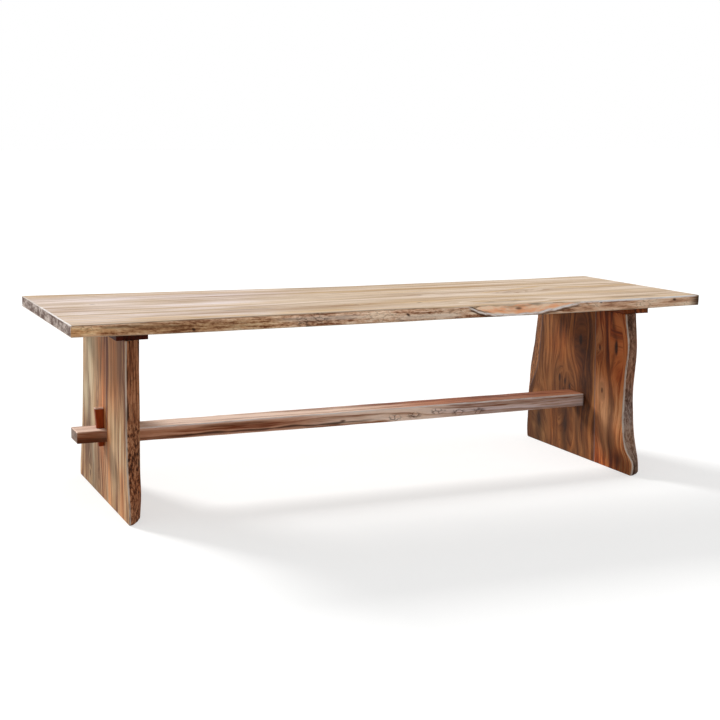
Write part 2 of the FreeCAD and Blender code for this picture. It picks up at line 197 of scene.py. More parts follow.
class Net:
    """Adds nodes to one shader or geometry tree and joins them."""

    def __init__(self, tree: bpy.types.NodeTree) -> None:
        """Keep the tree that the nodes go into."""
        self.tree = tree

    def add(self, kind: str, values: dict[Any, Any] | None = None, **settings: Any) -> bpy.types.Node:
        """Add a node.

        Args:
            kind: The node's type name.
            values: Input name or index to a constant or a socket to join.
            **settings: Properties set on the node itself.

        Returns:
            The new node.
        """
        node = self.tree.nodes.new(kind)
        for name, setting in settings.items():
            setattr(node, name, setting)
        for key, value in (values or {}).items():
            self.feed(node.inputs[key], value)
        return node

    def feed(self, socket: bpy.types.NodeSocket, value: Any) -> None:
        """Set a socket to a constant, or join another socket to it.

        Args:
            socket: The socket to feed.
            value: A constant or another socket.
        """
        if isinstance(value, bpy.types.NodeSocket):
            self.tree.links.new(value, socket)
        else:
            socket.default_value = value

    def math(self, operation: str, *values: Any, clamp: bool = False) -> bpy.types.NodeSocket:
        """One arithmetic step on sockets or numbers."""
        node = self.add("ShaderNodeMath", dict(enumerate(values)), operation=operation, use_clamp=clamp)
        return node.outputs[0]

    def scaled(
        self, vector: Any, scale: Sequence[float], shift: Any = (0.0, 0.0, 0.0)
    ) -> bpy.types.NodeSocket:
        """Stretch a vector and move it."""
        node = self.add("ShaderNodeVectorMath", {0: vector, 1: scale, 2: shift}, operation="MULTIPLY_ADD")
        return node.outputs[0]

    def combine(self, x: Any, y: Any, z: Any) -> bpy.types.NodeSocket:
        """Make a vector of three values."""
        return self.add("ShaderNodeCombineXYZ", {0: x, 1: y, 2: z}).outputs[0]

    def split(self, vector: Any) -> tuple[Any, Any, Any]:
        """Take a vector apart."""
        return tuple(self.add("ShaderNodeSeparateXYZ", {0: vector}).outputs)

    def noise(self, vector: Any, detail: float = 2.0, roughness: float = 0.5) -> bpy.types.NodeSocket:
        """Cloudy noise of unit scale, from 0 to 1 with a mean near a half."""
        values = {"Vector": vector, "Scale": 1.0, "Detail": detail, "Roughness": roughness}
        return self.add("ShaderNodeTexNoise", values).outputs[0]

    def cells(self, vector: Any) -> bpy.types.NodeSocket:
        """Distance to the nearest border between irregular cells of unit size."""
        values = {"Vector": vector, "Scale": 1.0}
        return self.add("ShaderNodeTexVoronoi", values, feature="DISTANCE_TO_EDGE").outputs[0]

    def band(self, value: Any, low: float, high: float, to_low: float = 0.0, to_high: float = 1.0) -> Any:
        """Ease from one value to another as the input goes from low to high."""
        values = {0: value, 1: low, 2: high, 3: to_low, 4: to_high}
        return self.add("ShaderNodeMapRange", values, interpolation_type="SMOOTHSTEP").outputs[0]

    def mix(self, factor: Any, first: Any, second: Any) -> bpy.types.NodeSocket:
        """Blend two colours."""
        values = {MIX_FACTOR: factor, MIX_FIRST: first, MIX_SECOND: second}
        return self.add("ShaderNodeMix", values, data_type="RGBA").outputs[MIX_RESULT]

    def ramp(
        self, factor: Any, stops: Sequence[float], colours: Sequence[Colour]
    ) -> bpy.types.NodeSocket:
        """Colours along a scale from 0 to 1.

        Args:
            factor: Place on the scale.
            stops: Places of the colours on the scale, in order.
            colours: One colour for each place.

        Returns:
            The colour.
        """
        node = self.add("ShaderNodeValToRGB", {0: factor})
        elements = node.color_ramp.elements
        while len(elements) < len(stops):
            elements.new(1.0)
        for element, place, colour in zip(elements, stops, colours):
            element.position = place
            element.color = colour
        return node.outputs[0]

    def tint(self, factor: Any, colour: Any, old: Colour, new: Colour) -> bpy.types.NodeSocket:
        """Turn one colour towards another and keep the pattern in it.

        Args:
            factor: How far to turn it.
            colour: The patterned colour.
            old: Middle colour of the pattern.
            new: What the middle colour turns into.

        Returns:
            The turned colour.
        """
        ratio = tuple(after / before for before, after in zip(old, new))
        values = {MIX_FACTOR: factor, MIX_FIRST: colour, MIX_SECOND: ratio}
        node = self.add("ShaderNodeMix", values, data_type="RGBA", blend_type="MULTIPLY")
        return node.outputs[MIX_RESULT]

    def mask(self, name: str) -> bpy.types.NodeSocket:
        """Read a painted mask of the piece's mesh in a shader."""
        return self.add("ShaderNodeAttribute", attribute_name=name).outputs["Fac"]


def blank_material(name: str) -> tuple[bpy.types.Material, Net, bpy.types.Node]:
    """Start a material.

    Args:
        name: The material's name.

    Returns:
        The material, its net and its surface shader.
    """
    made = bpy.data.materials.new(name)
    made.use_nodes = True
    return made, Net(made.node_tree), made.node_tree.nodes["Principled BSDF"]


@dataclass(frozen=True)
class BarkFinish:
    """Colours of a natural edge, how strongly its arris is painted, and how cracked and streaky it looks; a
    pale arris colour paints wear together with a painted highlight.
    """

    light: Colour
    middle: Colour
    dark: Colour
    arris: Colour
    arris_strength: float = 0.8
    cracks: float = 0.5
    streakiness: float = 0.5
    calm: float = 0.0
    contrast: float = 4.2
    patchiness: float = 1.3
    shade: float = -0.15
    line: Colour = srgb(52, 32, 22)
    line_depth: float = 0.4


@dataclass(frozen=True)
class WoodFinish:
    """Oiled solid wood whose rings, streaks, pores and bark run through the whole piece."""

    name: str
    light: Colour
    middle: Colour
    dark: Colour
    amber: Colour
    mauve: Colour
    bark: BarkFinish
    wane: Colour = srgb(255, 179, 131)
    wane_light: Colour = srgb(255, 222, 190)
    glue: Colour = srgb(138, 126, 126)
    end_light: Colour = srgb(216, 200, 190)
    end_dark: Colour = srgb(78, 48, 38)
    end_strength: float = 0.94
    glue_strength: float = 0.6
    knot: Colour = srgb(48, 26, 16)
    knot_strength: float = 0.92
    # Colour of the dark line mark: real drying splits, and painted shade at the hollow and along the top's
    # front left arris.
    dark_line: Colour = srgb(46, 26, 18)
    dark_line_strength: float = 0.92
    burrow: Colour = srgb(64, 40, 28)
    burrow_strength: float = 0.8
    source: GrainSource = GrainSource.PAINTED
    grain: Grain = Grain.ALONG_TABLE
    seed: float = 0.0
    pith_across: float = 0.0
    pith_depth: float = 0.16
    wave_rate: float = 0.9
    wide_sway: float = 0.16
    fine_sway: float = 0.02
    ring_pitch: float = 0.013
    zone_pitch: float = 0.12
    run: float = 1.2
    ring_weight: float = 1.6
    streak_weight: float = 1.5
    fibre_weight: float = 0.5
    tone_shift: float = -1.8
    contrast: float = 1.0
    amber_share: float = 0.8
    mauve_share: float = 0.8
    lines: float = 0.5
    pores: float = 0.4
    deep_share: float = 0.42
    least_torn: float = 0.2
    least_wear_and_highlight: float = 0.45
    roughness: float = 0.6
    fibre_roughness: float = 0.16
    bark_roughness: float = 0.2
    specular: float = 0.09
    bump_strength: float = 0.35
    bump_distance: float = 1.2 * MILLIMETRE

    def deep(self) -> Colour:
        """Colour of the darkest streaks."""
        return (*(self.deep_share * value for value in self.dark[:3]), 1.0)

    def coordinates(self, net: Net) -> bpy.types.NodeSocket:
        """Vector along, across and through the wood.

        Args:
            net: The shader tree.

        Returns:
            The vector's socket.
        """
        if self.source is GrainSource.PAINTED:
            return net.add("ShaderNodeAttribute", attribute_name=self.source.value).outputs["Vector"]
        places = net.split(net.add("ShaderNodeTexCoord").outputs["Object"])
        return net.combine(*(places[axis] for axis in self.grain.value))

    def ring_distance(self, net: Net, vector: Any) -> tuple[Any, Any]:
        """Distance from the pith with its natural waviness.

        Args:
            net: The shader tree.
            vector: Coordinates along, across and through.

        Returns:
            The ring distance and the place along the wood.
        """
        along, across, through = net.split(vector)
        wide = net.noise(net.scaled(vector, (self.wave_rate, 3.0, 3.0), (self.seed, 0.0, 0.0)), 1.0)
        fine = net.noise(net.scaled(vector, FINE_WAVES, (0.0, self.seed, 0.0)), 2.0)
        shift = net.math("ADD", net.math("MULTIPLY_ADD", wide, self.wide_sway, -self.wide_sway / 2),
                         net.math("MULTIPLY_ADD", fine, self.fine_sway, -self.fine_sway / 2))
        across = net.math("ADD", net.math("SUBTRACT", across, self.pith_across), shift)
        depth = net.math("ADD", through, self.pith_depth)
        squares = net.math("MULTIPLY_ADD", across, across, net.math("MULTIPLY", depth, depth))
        return net.math("SQRT", squares), along

    def layer(self, net: Net, distance: Any, along: Any, pitch: float, run: float, shift: float) -> Any:
        """Noise in bands that follow the rings: band width, wave length along, and pattern number."""
        bands = net.math("DIVIDE", distance, pitch)
        return net.noise(net.combine(bands, net.math("DIVIDE", along, run), self.seed + shift), 4.0, 0.68)

    def wood_colour(self, net: Net, vector: Any) -> tuple[Any, Any, Any]:
        """Colour of the clear wood.

        Args:
            net: The shader tree.
            vector: Coordinates along, across and through.

        Returns:
            The colour, the fibre pattern and the ring pattern.
        """
        distance, along = self.ring_distance(net, vector)
        ring = self.layer(net, distance, along, self.ring_pitch, self.run, 0.0)
        streak = self.layer(net, distance, along, 2.4 * self.ring_pitch, 0.6 * self.run, 4.0)
        zone = self.layer(net, distance, along, self.zone_pitch, self.run, 9.0)
        line = self.layer(net, distance, along, 0.4 * self.ring_pitch, 0.7 * self.run, 14.0)
        fibre = net.noise(net.scaled(vector, FIBRE_WAVES, (self.seed, 0.0, 0.0)), 3.0, 0.65)
        pore = net.noise(net.scaled(vector, PORE_WAVES, (0.0, 0.0, self.seed)), 1.0)
        tone = net.math("MULTIPLY", streak, self.streak_weight)
        tone = net.math("MULTIPLY_ADD", ring, self.ring_weight, tone)
        tone = net.math("MULTIPLY_ADD", fibre, self.fibre_weight, net.math("ADD", tone, self.tone_shift))
        tone = net.math("MULTIPLY_ADD", tone, self.contrast, 0.5)
        colour = net.ramp(tone, WOOD_STOPS, (self.dark, self.middle, self.light))
        warm = net.math("MULTIPLY", net.band(zone, *WARM_BAND), self.amber_share)
        cool = net.math("MULTIPLY", net.band(zone, *COOL_BAND), self.mauve_share)
        colour = net.tint(warm, colour, self.middle, self.amber)
        colour = net.tint(cool, colour, self.middle, self.mauve)
        colour = net.mix(net.band(line, *LINE_BAND, 0.0, self.lines), colour, self.dark)
        colour = net.mix(net.band(pore, *PORE_BAND, 0.0, self.pores), colour, self.dark)
        return colour, fibre, ring

    def streaked(self, net: Net, colour: Any, fibre: Any, ring: Any) -> bpy.types.NodeSocket:
        """Lay the painted streaks, knots and glue lines over the wood and its bark.

        Args:
            net: The shader tree.
            colour: Colour of the wood and its bark.
            fibre: The fibre pattern.
            ring: The ring pattern.

        Returns:
            The streaked colour.
        """
        pattern = net.math("MULTIPLY_ADD", fibre, 0.4, net.math("MULTIPLY", ring, 0.6))
        torn = net.band(pattern, *TORN_BAND, self.least_torn, 1.0)
        pale = net.math("MULTIPLY", net.mask(Streak.PALE.value), torn)
        colour = net.mix(pale, colour, self.light)
        for kind, tone in ((Streak.AMBER, self.amber), (Streak.MAUVE, self.mauve)):
            colour = net.tint(net.mask(kind.value), colour, self.middle, tone)
        dark = net.math("MULTIPLY", net.mask(Streak.DARK.value), torn)
        colour = net.mix(dark, colour, self.deep())
        knotty = net.band(net.mask("knot"), *KNOT_BAND, 0.0, self.knot_strength)
        colour = net.mix(knotty, colour, self.knot)
        return net.mix(net.math("MULTIPLY", net.mask("glue"), self.glue_strength), colour, self.glue)

    def bark_colour(self, net: Net, vector: Any) -> tuple[Any, Any, Any]:
        """Colour and relief of the natural edge, and its worm burrows.

        Args:
            net: The shader tree.
            vector: Coordinates along, across and through.

        Returns:
            The bark's colour, its height pattern and the burrows.
        """
        bark = self.bark
        patch = net.noise(net.scaled(vector, PATCH_WAVES, (self.seed, 0.0, 0.0)), 2.0)
        streak = net.noise(net.scaled(vector, BARK_STREAK_WAVES, (self.seed, 0.0, 0.0)), 4.0, 0.66)
        flake = net.noise(net.scaled(vector, BARK_FLAKE_WAVES, (0.0, self.seed, 0.0)), 4.0, 0.7)
        flaky = net.math("MULTIPLY", net.mask("rough"), 1.0 - bark.streakiness)
        relief = net.math("MULTIPLY_ADD", net.math("SUBTRACT", flake, streak), flaky, streak)
        rough_gain, even_gain = bark.contrast * bark.calm, bark.contrast * (1 - bark.calm)
        gain = net.math("MULTIPLY_ADD", net.mask("rough"), rough_gain, even_gain)
        tone = net.math("MULTIPLY", net.math("SUBTRACT", relief, 0.5), gain)
        tone = net.math("MULTIPLY_ADD", patch, bark.patchiness, net.math("ADD", tone, bark.shade))
        colour = net.ramp(tone, BARK_STOPS, (bark.dark, bark.middle, bark.light))
        warp = net.scaled(vector, BARK_CELL_WAVES, net.combine(flake, streak, patch))
        line = net.band(net.cells(warp), *CRACK_BAND, 1.0, 0.0)
        line = net.math("MULTIPLY", line, net.band(patch, *CRACKED_BAND, 0.0, bark.cracks))
        burrow = net.band(net.cells(net.scaled(warp, BURROW_STRETCH)), *BURROW_BAND, 1.0, 0.0)
        burrow = net.math("MULTIPLY", burrow, net.mask("worm"))
        colour = net.mix(line, colour, bark.line)
        sunk = net.math("MAXIMUM", line, burrow)
        return colour, net.math("MULTIPLY_ADD", sunk, -bark.line_depth, relief), burrow

    def material(self) -> bpy.types.Material:
        """Build the finish as a material.

        Returns:
            The new material.
        """
        made, net, shader = blank_material(self.name)
        vector = self.coordinates(net)
        colour, fibre, ring = self.wood_colour(net, vector)
        curl = net.noise(net.scaled(vector, CURL_WAVES, (0.0, self.seed, 0.0)), 4.0, 0.62)
        wane = net.mix(net.band(curl, *CURL_BAND), self.wane, self.wane_light)
        colour = net.mix(net.mask("wane"), colour, wane)
        bark_colour, relief, burrow = self.bark_colour(net, vector)
        bark = net.mask("bark")
        colour = self.streaked(net, net.mix(bark, colour, bark_colour), fibre, ring)
        colour = net.mix(net.math("MULTIPLY", burrow, self.burrow_strength), colour, self.burrow)
        # A pale arris colour paints wear along the arrises of the boards and the stretcher, together with a
        # painted highlight.
        wear_and_highlight = net.math("MULTIPLY", net.mask("arris"), net.band(relief, *WEAR_AND_HIGHLIGHT_BAND, self.least_wear_and_highlight, 1.0))
        colour = net.mix(net.math("MULTIPLY", wear_and_highlight, self.bark.arris_strength), colour, self.bark.arris)
        end_tone = net.noise(net.scaled(vector, END_WAVES, (self.seed, 0.0, 0.0)), 6.0, 0.78)
        end_colour = net.mix(net.band(end_tone, *END_BAND), self.end_dark, self.end_light)
        colour = net.mix(net.math("MULTIPLY", net.mask("end"), self.end_strength), colour, end_colour)
        # The dark line mark paints the stretcher's drying split, dark arris lines, and painted shade at the
        # hollow's pointed start and beneath its rim.
        colour = net.mix(net.math("MULTIPLY", net.mask("dark_line"), self.dark_line_strength), colour, self.dark_line)
        net.feed(shader.inputs["Base Color"], colour)
        least_rough = self.roughness - self.fibre_roughness / 2
        rough = net.math("MULTIPLY_ADD", fibre, self.fibre_roughness, least_rough)
        rough = net.math("MULTIPLY_ADD", bark, self.bark_roughness, rough, clamp=True)
        net.feed(shader.inputs["Roughness"], rough)
        shader.inputs["Specular IOR Level"].default_value = self.specular
        grain_height = net.math("MULTIPLY_ADD", fibre, 0.4, net.math("MULTIPLY", ring, 0.4))
        height = net.math("MULTIPLY_ADD", bark, net.math("MULTIPLY", relief, 2.0), grain_height)
        values = {"Strength": self.bump_strength, "Distance": self.bump_distance, "Height": height}
        net.feed(shader.inputs["Normal"], net.add("ShaderNodeBump", values).outputs[0])
        return made


@dataclass(frozen=True)
class SteelFinish:
    """Zinc plated steel of the screws."""

    name: str = "zinc_plated_steel"
    bright: Colour = srgb(190, 188, 182)
    dull: Colour = srgb(142, 140, 136)
    stain_rate: float = 420.0

    def material(self) -> bpy.types.Material:
        """Build the finish as a material.

        Returns:
            The new material.
        """
        made, net, shader = blank_material(self.name)
        place = net.add("ShaderNodeTexCoord").outputs["Object"]
        stain = net.noise(net.scaled(place, (self.stain_rate,) * 3), 4.0, 0.6)
        net.feed(shader.inputs["Base Color"], net.mix(net.band(stain, 0.35, 0.65), self.dull, self.bright))
        net.feed(shader.inputs["Roughness"], net.band(stain, 0.3, 0.7, 0.45, 0.28))
        shader.inputs["Metallic"].default_value = 1.0
        return made


@dataclass(frozen=True)
class Knot:
    """Small knot that the grain flows round, or a patch of burrows: its place, size and depth of colour."""

    along: float
    across: float
    radius: float
    dark: float = 1.0
    stretch: float = 2.2
    level: float | None = None
    level_room: float = 0.03

    def spread(self, points: np.ndarray) -> np.ndarray:
        """Distance of each point from the knot's middle, in knot radii.

        Args:
            points: Points along, across and through the piece.

        Returns:
            One distance for every point.
        """
        along, beside = (points[..., 0] - self.along) / self.stretch, np.abs(points[..., 1] - self.across)
        if self.level is None:
            return np.hypot(along, beside) / self.radius
        beside = np.maximum(0.0, beside - self.level_room)
        return np.sqrt(along ** 2 + beside ** 2 + (points[..., 2] - self.level) ** 2) / self.radius


@dataclass(frozen=True)
class Ribbon:
    """Long streak of another colour: its ends, its line across, its width and, on an edge, its level."""

    kind: Streak
    start: float
    end: float
    across: float
    width: float
    strength: float = 0.8
    drift: float = 0.0
    level: float | None = None
    height: float = 0.01
    wander: float = 0.4
    wave: float = 0.4


@dataclass(frozen=True)
class Hollow:
    """Natural hollow in the front edge of the top: its place, its slope and its ragged pale rim."""

    start: float = 0.215
    length: float = 0.52
    depth: float = 0.0378
    sag: float = 0.006
    sag_ripple: float = 0.5
    sag_wave: float = 0.11
    full_drop: float = 0.02
    rim_width: float = 0.0047
    rim_ripple: float = 0.002
    rim_wave: float = 0.09
    ragged: float = 0.006
    ragged_wave: float = 0.16
    fade: float = 0.004
    mouth_fade: tuple[float, float] = (0.002, 0.008)
    tip_fade: tuple[float, float] = (0.06, 0.13)
    # Painted shade at the pointed start and beneath the rim: where its dark line and band lie and how they
    # fade.
    tip_shadow: float = 0.006
    tip_shadow_fade: tuple[float, float] = (0.001, 0.004)
    shadow_under_rim: float = 1.7
    shadow_under_rim_fade: tuple[float, float] = (0.002, 0.005)
    place_shares: tuple[float, ...] = (0.0, 0.14, 0.34, 0.58, 0.84, 1.0)
    depth_shares: tuple[float, ...] = (0.0, 0.78, 1.0, 0.92, 0.4, 0.0)

    def rim_drop(self, along: np.ndarray) -> np.ndarray:
        """How far the hollow's rim lies below the upper face at each place.

        Args:
            along: Places along the board.

        Returns:
            The drop at each place.
        """
        share = (along - self.start) / self.length
        drop = np.interp(share, self.place_shares, self.depth_shares, left=0.0, right=0.0)
        return drop * self.depth


def bake_modifiers(piece: bpy.types.Object) -> None:
    """Turn a piece's modifiers into plain mesh and take them off.

    Args:
        piece: The piece to bake.
    """
    graph = bpy.context.evaluated_depsgraph_get()
    old = piece.data
    made = bpy.data.meshes.new_from_object(piece.evaluated_get(graph), depsgraph=graph)
    piece.modifiers.clear()
    piece.data = made
    bpy.data.meshes.remove(old)


def feed_modifier(modifier: bpy.types.Modifier, sizes: dict[str, float]) -> None:
    """Set a node modifier's named inputs by their socket identifiers.

    Args:
        modifier: The node modifier.
        sizes: Values by input name.
    """
    for socket in modifier.node_group.interface.items_tree:
        if socket.in_out == "INPUT" and socket.name in sizes:
            modifier[socket.identifier] = sizes[socket.name]


def node_group(name: str, inputs: Sequence[str]) -> tuple[bpy.types.NodeTree, Net, Any]:
    """Start a geometry tree with number inputs.

    Args:
        name: The tree's name.
        inputs: Names of its number inputs.

    Returns:
        The tree, its net and its input sockets.
    """
    group = bpy.data.node_groups.new(name, "GeometryNodeTree")
    group.interface.new_socket("Geometry", in_out="INPUT", socket_type="NodeSocketGeometry")
    for label in inputs:
        group.interface.new_socket(label, in_out="INPUT", socket_type="NodeSocketFloat")
    group.interface.new_socket("Geometry", in_out="OUTPUT", socket_type="NodeSocketGeometry")
    net = Net(group)
    return group, net, net.add("NodeGroupInput").outputs


def finish_group(net: Net, geometry: Any, material: bpy.types.Material) -> None:
    """End a geometry tree: make instances real, dress them and hand them out.

    Args:
        net: The geometry tree.
        geometry: What the tree has made so far.
        material: The finish that it gets.
    """
    real = net.add("GeometryNodeRealizeInstances", {0: geometry})
    dressed = net.add("GeometryNodeSetMaterial", {"Geometry": real.outputs[0], "Material": material})
    net.add("NodeGroupOutput", {0: dressed.outputs[0]})


@dataclass(frozen=True)
class RoughBark:
    """Node tree that roughens whatever the rough mask covers."""

    depth: float
    pit_depth: float
    seed: float

    def tree(self, material: bpy.types.Material) -> bpy.types.NodeTree:
        """Build the node tree with its named inputs.

        Args:
            material: The finish of the roughened piece.

        Returns:
            The new tree.
        """
        group, net, start = node_group("rough_bark", ("Bark Depth", "Pit Depth", "Seed"))
        named = "GeometryNodeInputNamedAttribute"
        grain = net.add(named, {"Name": "grain"}, data_type="FLOAT_VECTOR").outputs[0]
        rough = net.add(named, {"Name": "rough"}, data_type="FLOAT").outputs[0]
        shift = net.combine(start["Seed"], start["Seed"], 0.0)
        broad = net.noise(net.scaled(grain, SWELL_WAVES, shift), 3.0, 0.55)
        flake = net.noise(net.scaled(grain, FLAKE_WAVES, shift), 3.0, 0.6)
        swell = net.math("MULTIPLY_ADD", broad, 2.4, net.math("MULTIPLY_ADD", flake, 1.2, -1.8))
        pits = net.band(net.noise(net.scaled(grain, PIT_WAVES, shift), 2.0), *PIT_BAND)
        height = net.math("SUBTRACT", net.math("MULTIPLY", swell, start["Bark Depth"]),
                          net.math("MULTIPLY", pits, start["Pit Depth"]))
        height = net.math("MULTIPLY", height, rough)
        normal = net.add("GeometryNodeInputNormal").outputs[0]
        push = net.add("ShaderNodeVectorMath", {0: normal, "Scale": height}, operation="SCALE")
        moved = net.add("GeometryNodeSetPosition", {"Geometry": start["Geometry"], "Offset": push.outputs[0]})
        finish_group(net, moved.outputs[0], material)
        return group

    def apply(self, piece: bpy.types.Object, material: bpy.types.Material) -> None:
        """Roughen a piece and leave it a plain mesh.

        Args:
            piece: The piece to roughen.
            material: The finish that it gets.
        """
        modifier = piece.modifiers.new("rough_bark", "NODES")
        modifier.node_group = self.tree(material)
        feed_modifier(modifier, {"Bark Depth": self.depth, "Pit Depth": self.pit_depth, "Seed": self.seed})
        bake_modifiers(piece)


@dataclass(kw_only=True)
class WoodPiece:
    """A piece built as rings of points round its sections, with painted masks for its finish."""

    node: str
    slot: str
    grain: Grain
    finish: WoodFinish
    body: str = "table"
    knots: tuple[Knot, ...] = ()
    ribbons: tuple[Ribbon, ...] = ()
    worms: tuple[Knot, ...] = ()
    seed: float = 0.0
    arc_points: int = 5
    cap_margin: float = 0.0008
    knot_reach: float = 3.0
    bark_depth: float = 0.0
    pit_depth: float = 0.0
    low: Vector = field(init=False)
    high: Vector = field(init=False)

    def __post_init__(self) -> None:
        """Read the piece's place from its solid."""
        self.low, self.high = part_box(self.node)

    def span(self, direction: int) -> tuple[float, float]:
        """Low and high place of the piece along, across or through it."""
        axis = self.grain.value[direction]
        return self.low[axis], self.high[axis]

    def point(self, along: float, across: float, through: float) -> Vector:
        """Place in the table's frame from the piece's own directions.

        Args:
            along: Place along the piece.
            across: Place across it.
            through: Place through it.

        Returns:
            The place.
        """
        place = Vector((0.0, 0.0, 0.0))
        for axis, value in zip(self.grain.value, (along, across, through)):
            place[axis] = value
        return place

    def sections(self) -> tuple[np.ndarray, dict[str, np.ndarray], np.ndarray]:
        """Points round each section, masks of the same layout, and which ring places are flat."""
        raise NotImplementedError

    def blank_masks(self, points: np.ndarray) -> dict[str, np.ndarray]:
        """Masks with the piece's streaks, knots and burrows painted in.

        Args:
            points: Points round each section.

        Returns:
            One mask by name for every point.
        """
        names = MASKS + tuple(kind.value for kind in Streak)
        masks = {name: np.zeros(points.shape[:2]) for name in names}
        for ribbon in self.ribbons:
            self.paint_ribbon(masks[ribbon.kind.value], ribbon, points)
        for knot in self.knots:
            near = 1 - smooth_step(knot.spread(points), 0.2, 1.15)
            masks["knot"] = np.maximum(masks["knot"], knot.dark * near)
        for worm in self.worms:
            masks["worm"] = np.maximum(masks["worm"], 1 - smooth_step(worm.spread(points), 0.4, 1.1))
        return masks

    @staticmethod
    def paint_ribbon(mask: np.ndarray, ribbon: Ribbon, points: np.ndarray) -> None:
        """Add one streak to its mask.

        Args:
            mask: The mask of the streak's kind.
            ribbon: The streak.
            points: Points round each section.
        """
        along, across, through = (points[..., index] for index in range(3))
        share = (along - ribbon.start) / (ribbon.end - ribbon.start)
        if ribbon.level is None:
            line = ribbon.across + ribbon.drift * share
            line = line + ribbon.wander * ribbon.width * wobble(along, ribbon.wave, ribbon.across * 90)
            body = np.exp(-((across - line) / ribbon.width) ** 2)
        else:
            body = np.exp(-((across - ribbon.across) / ribbon.width) ** 4)
            body = body * np.exp(-((through - ribbon.level) / ribbon.height) ** 4)
        fade = smooth_step(share, 0.0, 0.25) * (1 - smooth_step(share, 0.75, 1.0))
        np.maximum(mask, ribbon.strength * body * fade, out=mask)

    def flow(self, points: np.ndarray) -> np.ndarray:
        """Place across the wood at each point: the grain flows round knots.

        Args:
            points: Points round each section.

        Returns:
            One place for every point.
        """
        along, across = points[..., 0], points[..., 1]
        flow = across.copy()
        for knot in self.knots:
            beside = across - knot.across
            spread = ((along - knot.along) / knot.stretch) ** 2 + beside ** 2
            reach = (self.knot_reach * knot.radius) ** 2 if knot.level is None else 0.0
            flow -= beside * reach / np.maximum(spread, max(reach, MILLIMETRE ** 2))
        return flow

    def capped(
        self, points: np.ndarray, masks: dict[str, np.ndarray]
    ) -> tuple[np.ndarray, dict[str, np.ndarray]]:
        """Add a slightly smaller ring on each cut end, which keeps the end grain to itself.

        Args:
            points: Points round each section.
            masks: Masks of the same layout.

        Returns:
            The longer points and masks.
        """
        rings = []
        for ring in (points[0], points[-1]):
            low, high = ring.min(0), ring.max(0)
            size = np.maximum(high - low, MILLIMETRE)
            middle = (low + high) / 2
            rings.append(middle + (ring - middle) * (1 - 2 * self.cap_margin / size))
        longer = np.concatenate((rings[0][None], points, rings[1][None]))
        blank = np.zeros((1, points.shape[1]))
        wider = {name: np.concatenate((blank, mask, blank)) for name, mask in masks.items()}
        wider["end"][(0, -1), :] = 1.0
        return longer, wider

    def mesh(self) -> bpy.types.Mesh:
        """Closed skin of the piece with its painted masks.

        Returns:
            The new mesh.
        """
        points, masks, flat = self.sections()
        points, masks = self.capped(points, masks)
        rows, places = points.shape[:2]
        vertices = points[..., np.argsort(self.grain.value)].reshape(-1, 3)
        index = np.arange(rows * places).reshape(rows, places)
        after = np.roll(index, -1, axis=1)
        quads = np.stack((index[:-1], after[:-1], after[1:], index[1:]), axis=-1).reshape(-1, 4)
        caps = [index[0][::-1].tolist(), index[-1].tolist()]
        turn = -1 if self.grain is Grain.ALONG_TABLE else 1
        faces = quads[:, ::turn].tolist() + [cap[::turn] for cap in caps]
        mesh = bpy.data.meshes.new(self.node + "_skin")
        mesh.from_pydata(vertices.tolist(), [], faces)
        grain = np.stack((points[..., 0], self.flow(points), points[..., 2]), axis=2)
        self.store(mesh, "grain", "FLOAT_VECTOR", "vector", grain)
        for name, mask in masks.items():
            self.store(mesh, name, "FLOAT", "value", mask)
        smooth = np.concatenate((np.tile(~(flat & np.roll(flat, -1)), rows - 1), (False, False)))
        mesh.polygons.foreach_set("use_smooth", smooth)
        mesh.update()
        return mesh

    @staticmethod
    def store(mesh: bpy.types.Mesh, name: str, kind: str, key: str, values: np.ndarray) -> None:
        """Write one attribute on the points of a mesh."""
        attribute = mesh.attributes.new(name, kind, "POINT")
        attribute.data.foreach_set(key, values.astype(np.float32).ravel())

    def carve(self, piece: bpy.types.Object, corners: Sequence[Vector]) -> None:
        """Cut a straight-sided hole.

        Args:
            piece: The piece to cut.
            corners: Four corners of the hole's mouth, then the same four at its far end.
        """
        mesh = bpy.data.meshes.new("cutter")
        normal = (corners[1] - corners[0]).cross(corners[3] - corners[0])
        outward = normal.dot(corners[4] - corners[0]) > 0
        mesh.from_pydata(corners, [], BOX_SIDES if outward else [side[::-1] for side in BOX_SIDES])
        grain = np.array([[corner[axis] for axis in self.grain.value] for corner in corners])
        self.store(mesh, "grain", "FLOAT_VECTOR", "vector", grain)
        cutter = bpy.data.objects.new("cutter", mesh)
        bpy.context.scene.collection.objects.link(cutter)
        modifier = piece.modifiers.new("hole", "BOOLEAN")
        modifier.operation = "DIFFERENCE"
        modifier.solver = "EXACT"
        modifier.object = cutter
        bake_modifiers(piece)
        bpy.data.objects.remove(cutter)
        bpy.data.meshes.remove(mesh)

    def holes(self) -> list[list[Vector]]:
        """Corners of each hole to cut."""
        return []

    def build(self) -> None:
        """Make the piece, roughen its bark, cut its holes and dress it."""
        piece = bpy.data.objects.new(self.node + "_wood", self.mesh())
        bpy.context.scene.collection.objects.link(piece)
        RoughBark(self.bark_depth, self.pit_depth, self.seed).apply(piece, self.finish.material())
        for corners in self.holes():
            self.carve(piece, corners)
        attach(piece, self.body)
        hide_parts(self.node)
        LOG.info("%s: %d faces", piece.name, len(piece.data.polygons))


